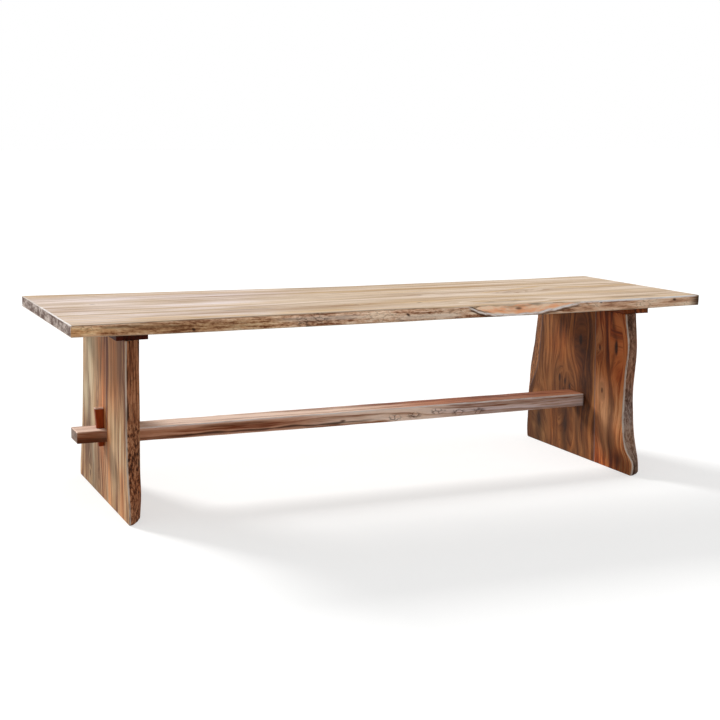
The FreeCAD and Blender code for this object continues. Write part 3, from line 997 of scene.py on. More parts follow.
@dataclass(kw_only=True)
class Board(WoodPiece):
    """One board of a slab: a dense skin over its solid, with bark on its live edges."""

    front: Edge
    back: Edge
    pale_arris_face: Face
    hollow: Hollow | None = None
    mortise: bool = False
    highlight_and_wear_start: bool = False
    glue_line: bool = False
    rounded_start: bool = False
    rounded_end: bool = False
    arris_weights: tuple[tuple[float, float], ...] = ((0.0, 1.0),)
    rough_weights: tuple[tuple[float, float], ...] = ((0.0, 1.0),)
    station_step: float = 0.005
    face_step: float = 0.007
    low_face_step: float = 0.04
    edge_points: int = 18
    live_ease: float = 0.0032
    seam_ease: float = 0.0004
    end_ease: float = 0.0025
    corner_ease: float = 0.012
    ease_unevenness: float = 0.45
    ease_wave: float = 0.19
    bark_depth: float = 0.0016
    pit_depth: float = 0.0022
    arris_reach: float = 0.0055
    least_arris: float = 0.4
    highlight_and_wear_start_reach: tuple[float, float] = (0.003, 0.007)
    highlight_and_wear_start_depth: float = 0.003
    glue_reach: float = 0.006
    flow_share: float = 0.8
    flow_reach: float = 0.14
    tree: BVHTree = field(init=False)

    def __post_init__(self) -> None:
        """Read the board's place and shape from its solid."""
        super().__post_init__()
        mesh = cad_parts[self.node].data
        points = [vertex.co.copy() for vertex in mesh.vertices]
        self.tree = BVHTree.FromPolygons(points, [tuple(face.vertices) for face in mesh.polygons])

    def stations(self) -> np.ndarray:
        """Places along the board: even steps, with finer ones at the rounded ends.

        Returns:
            The places, from end to end.
        """
        start, end = self.span(0)
        turns = np.linspace(0.0, 1.0, 2 * self.arc_points)[:-1]
        first = start + self.corner_ease * turns ** 2
        count = int((end - start) / self.station_step)
        inner = np.linspace(start + self.corner_ease, end - self.corner_ease, count)
        return np.concatenate((first, inner, (start + end - first)[::-1]))

    def from_ends(self, stations: np.ndarray) -> np.ndarray:
        """Distance of each place from the nearer end."""
        start, end = self.span(0)
        return np.minimum(stations - start, end - stations)

    def corner_inset(self, stations: np.ndarray) -> np.ndarray:
        """How far a live edge draws in to round the board's corners.

        Args:
            stations: Places along the board.

        Returns:
            The inset at each place.
        """
        start, end = self.span(0)
        inset = np.zeros_like(stations)
        if self.rounded_start:
            inset += quarter_round(stations - start, self.corner_ease)
        if self.rounded_end:
            inset += quarter_round(end - stations, self.corner_ease)
        return inset

    @staticmethod
    def weigh(weights: tuple[tuple[float, float], ...], stations: np.ndarray) -> np.ndarray:
        """Weight at each place along the board, from pairs of place and weight."""
        places, values = zip(*weights)
        return np.interp(stations, places, values)

    def live_profile(self, stations: np.ndarray, levels: np.ndarray, side: int) -> np.ndarray:
        """Reach of a live edge, read from the solid.

        Args:
            stations: Places along the board.
            levels: Depths through the board.
            side: -1 for the front edge, 1 for the back edge.

        Returns:
            Places across the board, one row a station.
        """
        start, end = self.span(0)
        low, high = self.span(2)
        margin = 0.2 * MILLIMETRE
        reach = np.zeros((len(stations), len(levels)))
        direction = self.point(0.0, -side, 0.0)
        for row, along in enumerate(np.clip(stations, start + margin, end - margin)):
            for column, through in enumerate(np.clip(levels, low + margin, high - margin)):
                hit = self.tree.ray_cast(self.point(along, side * RAY_START, through), direction)[0]
                reach[row, column] = hit[1]
        return reach

    def edge_curve(self, stations: np.ndarray, side: int, kind: Edge) -> tuple[np.ndarray, np.ndarray]:
        """One long side of the board, from its low face round to its high face.

        Args:
            stations: Places along the board.
            side: -1 for the front side, 1 for the back side.
            kind: Live edge or glued seam.

        Returns:
            Places across and depths through, one row a station.
        """
        low, high = self.span(2)
        turn = np.linspace(0.0, math.pi / 2, self.arc_points)
        inward = -side
        if kind is Edge.LIVE:
            uneven = self.ease_unevenness * wobble(stations, self.ease_wave, self.seed + side)
            ease = self.live_ease * (1 + uneven)[:, None]
            levels = np.linspace(low + self.live_ease, high - self.live_ease, self.edge_points)
            corner = inward * self.corner_inset(stations)[:, None]
            reach = self.softened(self.live_profile(stations, levels, side)) + corner
            last = self.live_profile(stations, np.array((low, high)), side) + corner
        else:
            ease = np.full((len(stations), 1), self.seam_ease)
            levels = np.linspace(low + self.seam_ease, high - self.seam_ease, 2)
            reach = np.full((len(stations), 2), self.span(1)[0 if side < 0 else 1])
            last = reach
        if self.hollow and side < 0:
            reach = self.sagged(stations, levels, reach)
        upper = inward * np.maximum(inward * last[:, 1:], inward * reach[:, -1:] + ease)
        lower = inward * np.maximum(inward * last[:, :1], inward * reach[:, :1] + ease)
        first_arc = reach[:, :1] + (lower - reach[:, :1]) * (1 - np.cos(turn[::-1]))[None, :]
        last_arc = reach[:, -1:] + (upper - reach[:, -1:]) * (1 - np.cos(turn))[None, :]
        across = np.hstack((first_arc[:, :-1], reach, last_arc[:, 1:]))
        step = levels[0] - low
        through = np.concatenate((
            levels[0] - step * np.sin(turn[::-1])[:-1], levels, levels[-1] + step * np.sin(turn)[1:]))
        return across, np.broadcast_to(through, across.shape).copy()

    @staticmethod
    def softened(reach: np.ndarray) -> np.ndarray:
        """Round off the creases of an edge from face to face.

        Args:
            reach: Places across the board, one row a station.

        Returns:
            The softened places.
        """
        for _ in range(3):
            reach[:, 1:-1] = (reach[:, :-2] + 2 * reach[:, 1:-1] + reach[:, 2:]) / 4
        return reach

    def sagged(self, stations: np.ndarray, levels: np.ndarray, reach: np.ndarray) -> np.ndarray:
        """Dish the hollow's slope.

        Args:
            stations: Places along the board.
            levels: Depths through the board.
            reach: Places across the board, one row a station.

        Returns:
            The dished places.
        """
        hollow = self.hollow
        drop = hollow.rim_drop(stations)[:, None]
        share = np.clip((levels[None, :] - self.span(2)[1] + drop) / np.maximum(drop, MILLIMETRE), 0.0, 1.0)
        ripple = 1 + hollow.sag_ripple * wobble(stations, hollow.sag_wave, self.seed)[:, None]
        dish = hollow.sag * ripple * np.sin(math.pi * share)
        return reach + dish * np.minimum(1.0, drop / hollow.full_drop)

    def sections(self) -> tuple[np.ndarray, dict[str, np.ndarray], np.ndarray]:
        """Points and masks round each section.

        Returns:
            The points, masks of the same layout, and which ring places are flat.
        """
        stations = self.stations()
        front, front_depth = self.edge_curve(stations, -1, self.front)
        back, back_depth = self.edge_curve(stations, 1, self.back)
        low, high = self.span(2)
        width = self.span(1)[1] - self.span(1)[0]
        high_count, low_count = (max(4, int(width / step)) for step in (self.face_step, self.low_face_step))
        high_share = np.linspace(0.0, 1.0, high_count + 2)[1:-1]
        low_share = np.linspace(1.0, 0.0, low_count + 2)[1:-1]
        high_face = front[:, -1:] + (back[:, -1:] - front[:, -1:]) * high_share[None, :]
        low_face = front[:, :1] + (back[:, :1] - front[:, :1]) * low_share[None, :]
        across = np.hstack((front, high_face, back[:, ::-1], low_face))
        through = np.hstack((front_depth, np.full_like(high_face, high), back_depth[:, ::-1],
                             np.full_like(low_face, low)))
        inset = quarter_round(self.from_ends(stations), self.end_ease)[:, None]
        across = np.clip(across, across.min(1, keepdims=True) + inset, across.max(1, keepdims=True) - inset)
        through = np.clip(through, low + inset, high - inset)
        points = np.stack((np.broadcast_to(stations[:, None], across.shape), across, through), axis=2)
        starts = np.cumsum((0, front.shape[1], high_count, back.shape[1], low_count))
        flat = np.zeros(across.shape[1], bool)
        flat[starts[1] - 1:starts[2] + 1] = True
        flat[starts[3] - 1:] = True
        flat[0] = True
        return points, self.masks(points, starts), flat

    def masks(self, points: np.ndarray, starts: np.ndarray) -> dict[str, np.ndarray]:
        """Where bark, worn arrises, glue lines and the hollow lie.

        Args:
            points: Points round each section.
            starts: First ring place of the front side, high face, back side and low face.

        Returns:
            One mask by name for every point.
        """
        along, through = points[..., 0], points[..., 2]
        low, high = self.span(2)
        masks = self.blank_masks(points)
        weight = self.weigh(self.arris_weights, along[:, :1])
        reach = self.arris_reach * np.maximum(self.least_arris, np.abs(weight))
        depth = np.minimum(through - low, high - through)
        wear_and_highlight = through - low if self.pale_arris_face is Face.LOW else high - through
        soft = 1.4 * self.live_ease
        for index, kind in ((0, self.front), (2, self.back)):
            part = slice(starts[index], starts[index + 1])
            if kind is Edge.LIVE:
                masks["bark"][:, part] = smooth_step(depth[:, part], 0.0, soft)
                near = 1 - smooth_step(wear_and_highlight[:, part] / reach, 0.5, 1.0)
                masks["arris"][:, part] = np.clip(weight, 0.0, 1.0) * near
                # A negative weight paints a dark line along the arris instead; on the top's front left it is
                # painted shade.
                masks["dark_line"][:, part] = np.clip(-weight, 0.0, 1.0) * near
            elif self.glue_line:
                seam = np.abs(points[..., 1] - self.span(1)[index // 2])
                masks["glue"] = np.maximum(masks["glue"], 1 - smooth_step(seam, 0.0, self.glue_reach))
        if self.hollow:
            self.paint_hollow(masks, along, through, slice(starts[0], starts[1]))
        # Painted highlight with wear: a bright pale line on the high arris at the board's start.
        if self.highlight_and_wear_start:
            near_start = 1 - smooth_step(along - self.span(0)[0], *self.highlight_and_wear_start_reach)
            masks["arris"] = np.maximum(masks["arris"], near_start * (wear_and_highlight < self.highlight_and_wear_start_depth))
        fade = smooth_step(self.from_ends(along), 0.0, 2 * self.end_ease)
        masks["rough"] = masks["bark"] * fade * self.weigh(self.rough_weights, along[:, :1])
        return masks

    def paint_hollow(
        self, masks: dict[str, np.ndarray], along: np.ndarray, through: np.ndarray, part: slice
    ) -> None:
        """Clear the bark off the hollow's slope, whiten its rim, and paint shade at its pointed start and in
        a band beneath its rim.

        Args:
            masks: Masks to paint.
            along: Place of each point along the board.
            through: Place of each point through it.
            part: Ring places of the front side.
        """
        hollow = self.hollow
        places = along[:, part]
        drop = hollow.rim_drop(places) + hollow.rim_ripple * wobble(places, hollow.rim_wave, 4.0)
        above = through[:, part] - (self.span(2)[1] - drop)
        inside = smooth_step(drop, *hollow.mouth_fade)
        bare = inside * smooth_step(above, 0.0, hollow.fade)
        ragged = drop - hollow.ragged * (1.3 + wobble(places, hollow.ragged_wave, 2.0))
        masks["wane"][:, part] = bare * (1 - smooth_step(above - ragged, 0.0, hollow.fade))
        masks["bark"][:, part] *= 1 - bare
        rim = inside * (1 - smooth_step(np.abs(above), 0.4 * hollow.rim_width, hollow.rim_width))
        masks["arris"][:, part] = np.maximum(masks["arris"][:, part] * (1 - inside), rim)
        # Painted shade: a dark line at the hollow's pointed start and a dark band beneath the rim, put into
        # the dark line mask.
        tip = 1 - smooth_step(places - hollow.start, *hollow.tip_fade)
        under = 1 - smooth_step(np.abs(above - hollow.tip_shadow), *hollow.tip_shadow_fade)
        below = 1 - smooth_step(np.abs(above + hollow.shadow_under_rim * hollow.rim_width), *hollow.shadow_under_rim_fade)
        dark = inside * np.maximum(0.85 * tip * under, (0.75 + 0.2 * tip) * below)
        masks["dark_line"][:, part] = np.maximum(masks["dark_line"][:, part] * (1 - inside), dark)

    def flow(self, points: np.ndarray) -> np.ndarray:
        """Place across the wood at each point: the grain flows round knots and along live edges.

        Args:
            points: Points round each section.

        Returns:
            One place for every point.
        """
        across = points[..., 1]
        flow = super().flow(points)
        for side, kind in ((-1, self.front), (1, self.back)):
            if kind is Edge.LIVE:
                edge = across.min(1) if side < 0 else across.max(1)
                bend = (edge - edge.mean())[:, None]
                near = np.exp(-np.abs(across - edge[:, None]) / self.flow_reach)
                flow -= self.flow_share * bend * near
        return flow

    def holes(self) -> list[list[Vector]]:
        """Corners of the through mortise, if the board has one.

        Returns:
            Eight corners of each hole.
        """
        if not self.mortise:
            return []
        joint = TuskTenon()
        near, far = joint.front - joint.room, joint.back + joint.room
        if near - self.span(1)[0] < MILLIMETRE:
            near -= CUT_RUN
        bottom, top = joint.bottom - joint.room, joint.top + joint.room
        mouth = ((near, bottom), (far, bottom), (far, top), (near, top))
        faces = (self.span(2)[0] - CUT_RUN, self.span(2)[1] + CUT_RUN)
        return [[Vector((through, across, level)) for through in faces for across, level in mouth]]


@dataclass
class TuskTenon:
    """Places that the stretcher's tenons, their mortises and their wedges share."""

    side_shoulder: float = 0.005
    top_shoulder: float = 0.002
    under_shoulder: float = 0.006
    room: float = 0.0005
    wedge_tip_width: float = 0.02
    wedge_draw: float = 0.006
    wedge_room: float = 0.0004
    front: float = field(init=False)
    back: float = field(init=False)
    bottom: float = field(init=False)
    top: float = field(init=False)
    shoulder: float = field(init=False)
    wedge_low: Vector = field(init=False)
    wedge_high: Vector = field(init=False)

    def __post_init__(self) -> None:
        """Work the places out from the solids."""
        low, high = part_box("stretcher")
        self.front = low.y + self.side_shoulder
        self.back = high.y - self.side_shoulder
        self.bottom = low.z + self.under_shoulder
        self.top = high.z - self.top_shoulder
        self.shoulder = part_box("right_leg_back_board")[0].x
        self.wedge_low, self.wedge_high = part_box("right_wedge")

    def wedge_width(self, level: Any) -> Any:
        """Width of a wedge, out from the leg, at a level.

        Args:
            level: Height above the floor.

        Returns:
            The width there.
        """
        head = self.wedge_high.x - self.wedge_low.x
        share = (level - self.wedge_low.z) / (self.wedge_high.z - self.wedge_low.z)
        return self.wedge_tip_width + (head - self.wedge_tip_width) * share


def soft_ring(
    across: tuple[float, float],
    through: tuple[float, float],
    ease: float,
    counts: tuple[int, int],
    arc_points: int,
) -> tuple[np.ndarray, np.ndarray]:
    """Points round a rectangle with rounded corners.

    Args:
        across: Low and high place across.
        through: Low and high place through.
        ease: Corner radius.
        counts: Points along each straight side: through it, then across it.
        arc_points: Points round each corner.

    Returns:
        Places across and through, from the front side up and round.
    """
    turn = np.linspace(0.0, math.pi / 2, arc_points)
    out, up = ease * np.cos(turn), ease * np.sin(turn)
    rise = np.linspace(through[0] + ease, through[1] - ease, counts[0] + 2)[1:-1]
    run = np.linspace(across[0] + ease, across[1] - ease, counts[1] + 2)[1:-1]
    near, far = across[0] + ease, across[1] - ease
    bottom, top = through[0] + ease, through[1] - ease
    ring_across = np.concatenate((
        near - up, np.full(counts[0], across[0]), near - out, run,
        far + up, np.full(counts[0], across[1]), far + out, run[::-1]))
    ring_through = np.concatenate((
        bottom - out, rise, top + up, np.full(counts[1], through[1]),
        top + out, rise[::-1], bottom - up, np.full(counts[1], through[0])))
    return ring_across, ring_through


def stacked(stations: np.ndarray, rings: Sequence[tuple[np.ndarray, np.ndarray]]) -> np.ndarray:
    """Stack the rings of a piece into points along, across and through it.

    Args:
        stations: Place of each ring along the piece.
        rings: Places across and through, ring by ring.

    Returns:
        Points round each section.
    """
    across, through = (np.stack(places) for places in zip(*rings))
    along = np.broadcast_to(stations[:, None], across.shape)
    return np.stack((along, across, through), axis=2)


@dataclass(kw_only=True)
class Stretcher(WoodPiece):
    """Long rail with shouldered tenons, softened arrises and a drying crack along its front."""

    step: float = 0.006
    ease: float = 0.0035
    tenon_ease: float = 0.003
    side_points: tuple[int, int] = (20, 20)
    ease_unevenness: float = 0.35
    ease_wave: float = 0.21
    unevenness: float = 0.0009
    uneven_wave: float = 0.45
    belly: float = 0.004
    crack_start: float = -0.9
    crack_end: float = 0.1
    crack_rise: float = 0.17
    crack_wander: float = 0.06
    crack_wave: float = 0.3
    crack_width: float = 0.0038
    crack_width_wave: float = 0.17
    crack_depth: float = 0.003

    def sections(self) -> tuple[np.ndarray, dict[str, np.ndarray], np.ndarray]:
        """Points and masks round each section.

        Returns:
            The points, masks of the same layout, and which ring places are flat.
        """
        joint = TuskTenon()
        end = self.span(0)[1]
        count = int((end - joint.shoulder) / self.step)
        tenon = np.linspace(joint.shoulder, end - self.tenon_ease, count)
        turns = np.linspace(0.0, 1.0, self.arc_points)[1:]
        tip = end - self.tenon_ease * (1 - np.sin(turns * math.pi / 2))
        half = np.concatenate((tenon, tip))
        rail = np.linspace(-joint.shoulder, joint.shoulder, int(2 * joint.shoulder / self.step))
        stations = np.concatenate((-half[::-1], rail, half))
        is_rail = np.zeros(len(stations), bool)
        is_rail[len(half):len(half) + len(rail)] = True
        rings = [self.ring(along, thick, joint) for along, thick in zip(stations, is_rail)]
        points = stacked(stations, rings)
        corner = np.hypot(points[..., 1] - self.low.y, points[..., 2] - self.high.z)
        masks = self.blank_masks(points)
        self.dark_line(points, masks, is_rail)
        # Pale top front arris: wear together with a painted highlight.
        masks["arris"] = 1 - smooth_step(corner, 0.9 * self.ease, 1.9 * self.ease)
        return points, masks, np.zeros(points.shape[1], bool)

    def ring(self, along: float, is_rail: bool, joint: TuskTenon) -> tuple[np.ndarray, np.ndarray]:
        """One section of the rail or of a tenon.

        Args:
            along: Place along the stretcher.
            is_rail: True between the shoulders, false on a tenon.
            joint: Places of the tenons.

        Returns:
            Places across and through, round the section.
        """
        if is_rail:
            place = np.array((along,))
            near = 1 - smooth_step(np.abs(place), 0.9 * joint.shoulder, joint.shoulder)[0]
            uneven = near * self.unevenness * wobble(place, self.uneven_wave, self.seed)[0]
            ease = self.ease * (1 + self.ease_unevenness * wobble(place, self.ease_wave, self.seed + 2)[0])
            across = (self.low.y + max(0.0, uneven), self.high.y - max(0.0, -uneven))
            sag = self.belly * (1 - (along / joint.shoulder) ** 2)
            through = (self.low.z + max(0.0, -uneven) - sag, self.high.z - max(0.0, uneven))
            return soft_ring(across, through, ease, self.side_points, self.arc_points)
        inset = quarter_round(np.array((self.high.x - abs(along),)), self.tenon_ease)[0]
        across = (joint.front + inset, joint.back - inset)
        through = (joint.bottom + inset, joint.top - inset)
        return soft_ring(across, through, self.tenon_ease, self.side_points, self.arc_points)

    def dark_line(self, points: np.ndarray, masks: dict[str, np.ndarray], is_rail: np.ndarray) -> None:
        """Sink a wandering crack into the rail's front.

        Args:
            points: Points round each section, which the crack moves.
            masks: Masks of the same layout, which get the crack.
            is_rail: True for each section of the rail.
        """
        along, across, through = (points[..., index] for index in range(3))
        share = (along - self.crack_start) / (self.crack_end - self.crack_start)
        fade = smooth_step(share, 0.0, 0.15) * (1 - smooth_step(share, 0.8, 1.0)) * is_rail[:, None]
        rise = self.crack_rise + self.crack_wander * wobble(along, self.crack_wave, 1.0)
        level = self.low.z + (self.high.z - self.low.z) * rise
        front = smooth_step(self.low.y + 2 * MILLIMETRE - across, 0.0, MILLIMETRE)
        width = self.crack_width * (1 + 0.5 * wobble(along, self.crack_width_wave, 3.0))
        mask = front * fade * np.exp(-((through - level) / width) ** 2)
        masks["dark_line"] = np.maximum(masks["dark_line"], mask)
        points[..., 1] += self.crack_depth * mask

    def holes(self) -> list[list[Vector]]:
        """Corners of the tapered mortise in each tenon.

        Returns:
            Eight corners of each hole.
        """
        joint = TuskTenon()
        leg = joint.wedge_low.x
        bottom, top = self.low.z - CUT_RUN, self.high.z + CUT_RUN
        ends = (joint.wedge_low.y - joint.wedge_room, joint.wedge_high.y + joint.wedge_room)
        found = []
        for side in (-1, 1):
            mouth = []
            for level, inner in ((bottom, True), (bottom, False), (top, False), (top, True)):
                out = -joint.wedge_draw if inner else joint.wedge_width(level) + joint.wedge_room
                mouth.append((side * (leg + out), level))
            found.append([Vector((x, y, z)) for y in ends for x, z in mouth])
        return found


@dataclass(kw_only=True)
class Wedge(WoodPiece):
    """Tusk wedge: flat on the leg, sloping on its far side, with softened arrises."""

    side: int
    ease: float = 0.0022
    stations: int = 40
    side_points: tuple[int, int] = (8, 8)

    def sections(self) -> tuple[np.ndarray, dict[str, np.ndarray], np.ndarray]:
        """Points and masks round each section.

        Returns:
            The points, masks of the same layout, and which ring places are flat.
        """
        joint = TuskTenon()
        low, high = self.span(0)
        turns = 1 - np.cos(np.linspace(0.0, math.pi / 2, self.arc_points))
        first = low + self.ease * turns[:-1]
        inner = np.linspace(low + self.ease, high - self.ease, self.stations)
        levels = np.concatenate((first, inner, (low + high - first)[::-1]))
        leg = joint.wedge_low.x
        rings = []
        for level in levels:
            inset = quarter_round(np.array((min(level - low, high - level),)), self.ease)[0]
            near, far = sorted((self.side * leg, self.side * (leg + joint.wedge_width(level))))
            across = (self.low.y + inset, self.high.y - inset)
            through = (near + inset, far - inset)
            rings.append(soft_ring(across, through, self.ease, self.side_points, self.arc_points))
        points = stacked(levels, rings)
        masks = self.blank_masks(points)
        masks["arris"] = smooth_step(points[..., 0], high - 2 * self.ease, high - self.ease)
        return points, masks, np.zeros(points.shape[1], bool)


@dataclass
class HexScrews:
    """Hex-head screws of one cleat, set on points by a node tree."""

    node: str
    slot: str = "screw_steel"
    head_width: float = 0.01
    head_height: float = 0.004
    shank_diameter: float = 0.006
    per_row: int = 3
    head_sides: int = 6
    shank_sides: int = 24
    flange_sides: int = 32
    flange_spread: float = 1.05
    flange_share: float = 0.2

    def tree(self, material: bpy.types.Material) -> bpy.types.NodeTree:
        """Build the node tree that makes one screw and sets it on each point.

        Args:
            material: The steel finish.

        Returns:
            The new tree.
        """
        names = ("Head Radius", "Head Height", "Shank Radius", "Shank Length")
        group, net, start = node_group("hex_screws", names)
        head = self.part(net, self.head_sides, start["Head Radius"], start["Head Height"], -0.5)
        shank = self.part(net, self.shank_sides, start["Shank Radius"], start["Shank Length"], 0.5)
        flange_radius = net.math("MULTIPLY", start["Head Radius"], self.flange_spread)
        flange_height = net.math("MULTIPLY", start["Head Height"], self.flange_share)
        flange = self.part(net, self.flange_sides, flange_radius, flange_height, -0.5)
        joined = net.add("GeometryNodeJoinGeometry")
        for mesh in (head, shank, flange):
            net.tree.links.new(mesh, joined.inputs[0])
        values = {"Points": start["Geometry"], "Instance": joined.outputs[0]}
        placed = net.add("GeometryNodeInstanceOnPoints", values)
        finish_group(net, placed.outputs[0], material)
        return group

    @staticmethod
    def part(net: Net, sides: int, radius: Any, height: Any, rise: float) -> bpy.types.NodeSocket:
        """One round or six-sided part of a screw, moved by a share of its height.

        Args:
            net: The geometry tree.
            sides: Sides of the part.
            radius: Its radius over the corners.
            height: Its height.
            rise: The share of its height that it is moved up.

        Returns:
            The part's geometry.
        """
        bar = net.add("GeometryNodeMeshCylinder", {"Vertices": sides, "Radius": radius, "Depth": height})
        lift = net.combine(0.0, 0.0, net.math("MULTIPLY", height, rise))
        return net.add("GeometryNodeTransform", {"Geometry": bar.outputs[0], "Translation": lift}).outputs[0]

    def build(self, material: bpy.types.Material) -> None:
        """Place the screws where their solids are.

        Args:
            material: The steel finish.
        """
        low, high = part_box(self.node)
        radius = self.head_width / math.sqrt(3)
        columns = sorted({round(low.x + radius, 4), round(high.x - radius, 4)})
        places = np.linspace(low.y + self.head_width / 2, high.y - self.head_width / 2, self.per_row)
        seat = low.z + self.head_height
        mesh = bpy.data.meshes.new(self.node + "_points")
        mesh.from_pydata([(x, y, seat) for x in columns for y in places], [], [])
        piece = bpy.data.objects.new(self.node + "_steel", mesh)
        bpy.context.scene.collection.objects.link(piece)
        modifier = piece.modifiers.new("hex_screws", "NODES")
        modifier.node_group = self.tree(material)
        feed_modifier(modifier, {"Head Radius": radius, "Head Height": self.head_height,
                                 "Shank Radius": self.shank_diameter / 2, "Shank Length": high.z - seat})
        bake_modifiers(piece)
        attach(piece, "table")
        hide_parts(self.node)
        LOG.info("%s: %d faces", piece.name, len(piece.data.polygons))


@dataclass(frozen=True)
class Studio:
    """Plain pale floor, soft light and the camera at the photograph's viewing angle."""

    camera_place: tuple[float, float, float] = (-2.2346, -5.4148, 1.381)
    yaw: float = 0.38839
    pitch: float = 0.07522
    focal_pixels: float = 1434.4
    centre_row: float = 250.0
    far_clip: float = 600.0
    floor_size: float = 400.0
    floor_light: Colour = srgb(192, 192, 191)
    floor_dark: Colour = srgb(188, 188, 187)
    floor_specks: float = 6.0
    floor_roughness: float = 0.9
    floor_specular: float = 0.1
    floor_glow: float = 0.56
    key_from: tuple[float, float, float] = (-0.35, 0.8, 0.48)
    key_angle: float = 14.0
    key_strength: float = 3.2
    fill_from: tuple[float, float, float] = (0.15, -0.9, 0.4)
    fill_angle: float = 60.0
    fill_strength: float = 0.62
    world_strength: float = 0.45

    def camera(self) -> None:
        """Add the camera."""
        data = bpy.data.cameras.new("camera")
        data.sensor_width = SENSOR_WIDTH
        data.lens = SENSOR_WIDTH * self.focal_pixels / IMAGE_PIXELS
        data.shift_y = (self.centre_row - IMAGE_PIXELS / 2) / IMAGE_PIXELS
        data.clip_end = self.far_clip
        camera = bpy.data.objects.new("camera", data)
        view = Vector((
            math.sin(self.yaw) * math.cos(self.pitch),
            math.cos(self.yaw) * math.cos(self.pitch),
            -math.sin(self.pitch),
        ))
        camera.location = self.camera_place
        camera.rotation_euler = view.to_track_quat("-Z", "Y").to_euler()
        bpy.context.scene.collection.objects.link(camera)
        bpy.context.scene.camera = camera

    def lamp(self, name: str, place: tuple[float, float, float], angle: float, strength: float) -> None:
        """Add a soft far lamp.

        Args:
            name: The lamp's name.
            place: Direction that its light comes from.
            angle: How wide it looks, in degrees.
            strength: Its power.
        """
        data = bpy.data.lights.new(name, "SUN")
        data.angle = math.radians(angle)
        data.energy = strength
        lamp = bpy.data.objects.new(name, data)
        lamp.rotation_euler = Vector(place).to_track_quat("Z", "Y").to_euler()
        bpy.context.scene.collection.objects.link(lamp)

    def backdrop_share(self, net: Net) -> Any:
        """One for rays that show the background: camera, glossy and transmitted rays.

        Args:
            net: The shader tree.

        Returns:
            The share's socket.
        """
        rays = net.add("ShaderNodeLightPath").outputs
        shown = net.math("MAXIMUM", rays["Is Camera Ray"], rays["Is Glossy Ray"])
        return net.math("MAXIMUM", shown, rays["Is Transmission Ray"])

    def world(self) -> None:
        """Light all round, with white behind the table."""
        world = bpy.data.worlds.new("studio")
        world.use_nodes = True
        bpy.context.scene.world = world
        net = Net(world.node_tree)
        background = world.node_tree.nodes["Background"]
        background.inputs["Color"].default_value = WHITE
        strength = net.band(self.backdrop_share(net), 0.0, 1.0, self.world_strength, 1.0)
        net.feed(background.inputs["Strength"], strength)

    def floor(self) -> None:
        """Pale floor that keeps the table's shadow."""
        half = self.floor_size / 2
        mesh = bpy.data.meshes.new("floor")
        corners = [(-half, -half, 0.0), (half, -half, 0.0), (half, half, 0.0), (-half, half, 0.0)]
        mesh.from_pydata(corners, [], [(0, 1, 2, 3)])
        floor = bpy.data.objects.new("floor", mesh)
        bpy.context.scene.collection.objects.link(floor)
        made, net, shader = blank_material("pale_floor")
        place = net.add("ShaderNodeTexCoord").outputs["Object"]
        speck = net.noise(net.scaled(place, (self.floor_specks,) * 3), 3.0)
        net.feed(shader.inputs["Base Color"], net.mix(speck, self.floor_dark, self.floor_light))
        shader.inputs["Roughness"].default_value = self.floor_roughness
        shader.inputs["Specular IOR Level"].default_value = self.floor_specular
        shader.inputs["Emission Color"].default_value = WHITE
        glow = net.math("MULTIPLY", self.backdrop_share(net), self.floor_glow)
        net.feed(shader.inputs["Emission Strength"], glow)
        mesh.materials.append(made)

    def build(self) -> None:
        """Set up the whole studio."""
        bpy.context.scene.view_settings.view_transform = "Standard"
        self.world()
        self.floor()
        self.lamp("key", self.key_from, self.key_angle, self.key_strength)
        self.lamp("fill", self.fill_from, self.fill_angle, self.fill_strength)
        self.camera()
        LOG.info("studio ready")


TOP_BARK = BarkFinish(
    light=srgb(242, 214, 186), middle=srgb(208, 164, 132), dark=srgb(122, 74, 46), arris=srgb(236, 232, 231),
    arris_strength=0.95, cracks=0.5, streakiness=0.55, calm=0.6,
)
TOP_BACK_BARK = BarkFinish(
    light=srgb(204, 172, 140), middle=srgb(160, 120, 90), dark=srgb(88, 54, 34), arris=srgb(200, 192, 186),
    arris_strength=0.8, cracks=0.5, streakiness=0.55,
)
LEFT_BARK = BarkFinish(
    light=srgb(184, 128, 92), middle=srgb(138, 84, 54), dark=srgb(62, 33, 20), arris=srgb(210, 196, 182),
    arris_strength=0.8, cracks=0.5, streakiness=0.0,
)
RIGHT_BARK = BarkFinish(
    light=srgb(158, 134, 116), middle=srgb(122, 96, 80), dark=srgb(70, 48, 36), arris=srgb(206, 198, 188),
    arris_strength=0.9, cracks=0.4, streakiness=0.4,
)
RIGHT_BACK_BARK = BarkFinish(
    light=srgb(166, 112, 68), middle=srgb(112, 68, 38), dark=srgb(62, 32, 18), arris=srgb(70, 48, 44),
    arris_strength=0.85, cracks=0.5, streakiness=0.7,
)
BEAM_EDGE = BarkFinish(
    light=srgb(206, 166, 138), middle=srgb(168, 116, 84), dark=srgb(94, 54, 36), arris=srgb(244, 236, 232),
    arris_strength=0.9, cracks=0.0, streakiness=0.5,
)
WEDGE_EDGE = BarkFinish(
    light=srgb(170, 120, 86), middle=srgb(130, 84, 56), dark=srgb(80, 48, 30), arris=srgb(240, 218, 200),
    arris_strength=0.95, cracks=0.0, streakiness=0.5,
)
NO_BARK = BarkFinish(
    light=srgb(170, 120, 86), middle=srgb(130, 84, 56), dark=srgb(80, 48, 30), arris=srgb(170, 150, 130),
    arris_strength=0.0, cracks=0.0, streakiness=0.5,
)


def top_finish(name: str, seed: float, pith_across: float, bark: BarkFinish = TOP_BARK) -> WoodFinish:
    """Pale tan wood of the table top."""
    return WoodFinish(
        name, light=srgb(230, 211, 192), middle=srgb(204, 180, 153), dark=srgb(154, 120, 88),
        amber=srgb(196, 162, 116), mauve=srgb(214, 194, 179), bark=bark, seed=seed,
        pith_across=pith_across, pith_depth=0.05, ring_pitch=0.017, zone_pitch=0.07, run=1.5, contrast=0.95,
        mauve_share=0.3, amber_share=0.7,
    )


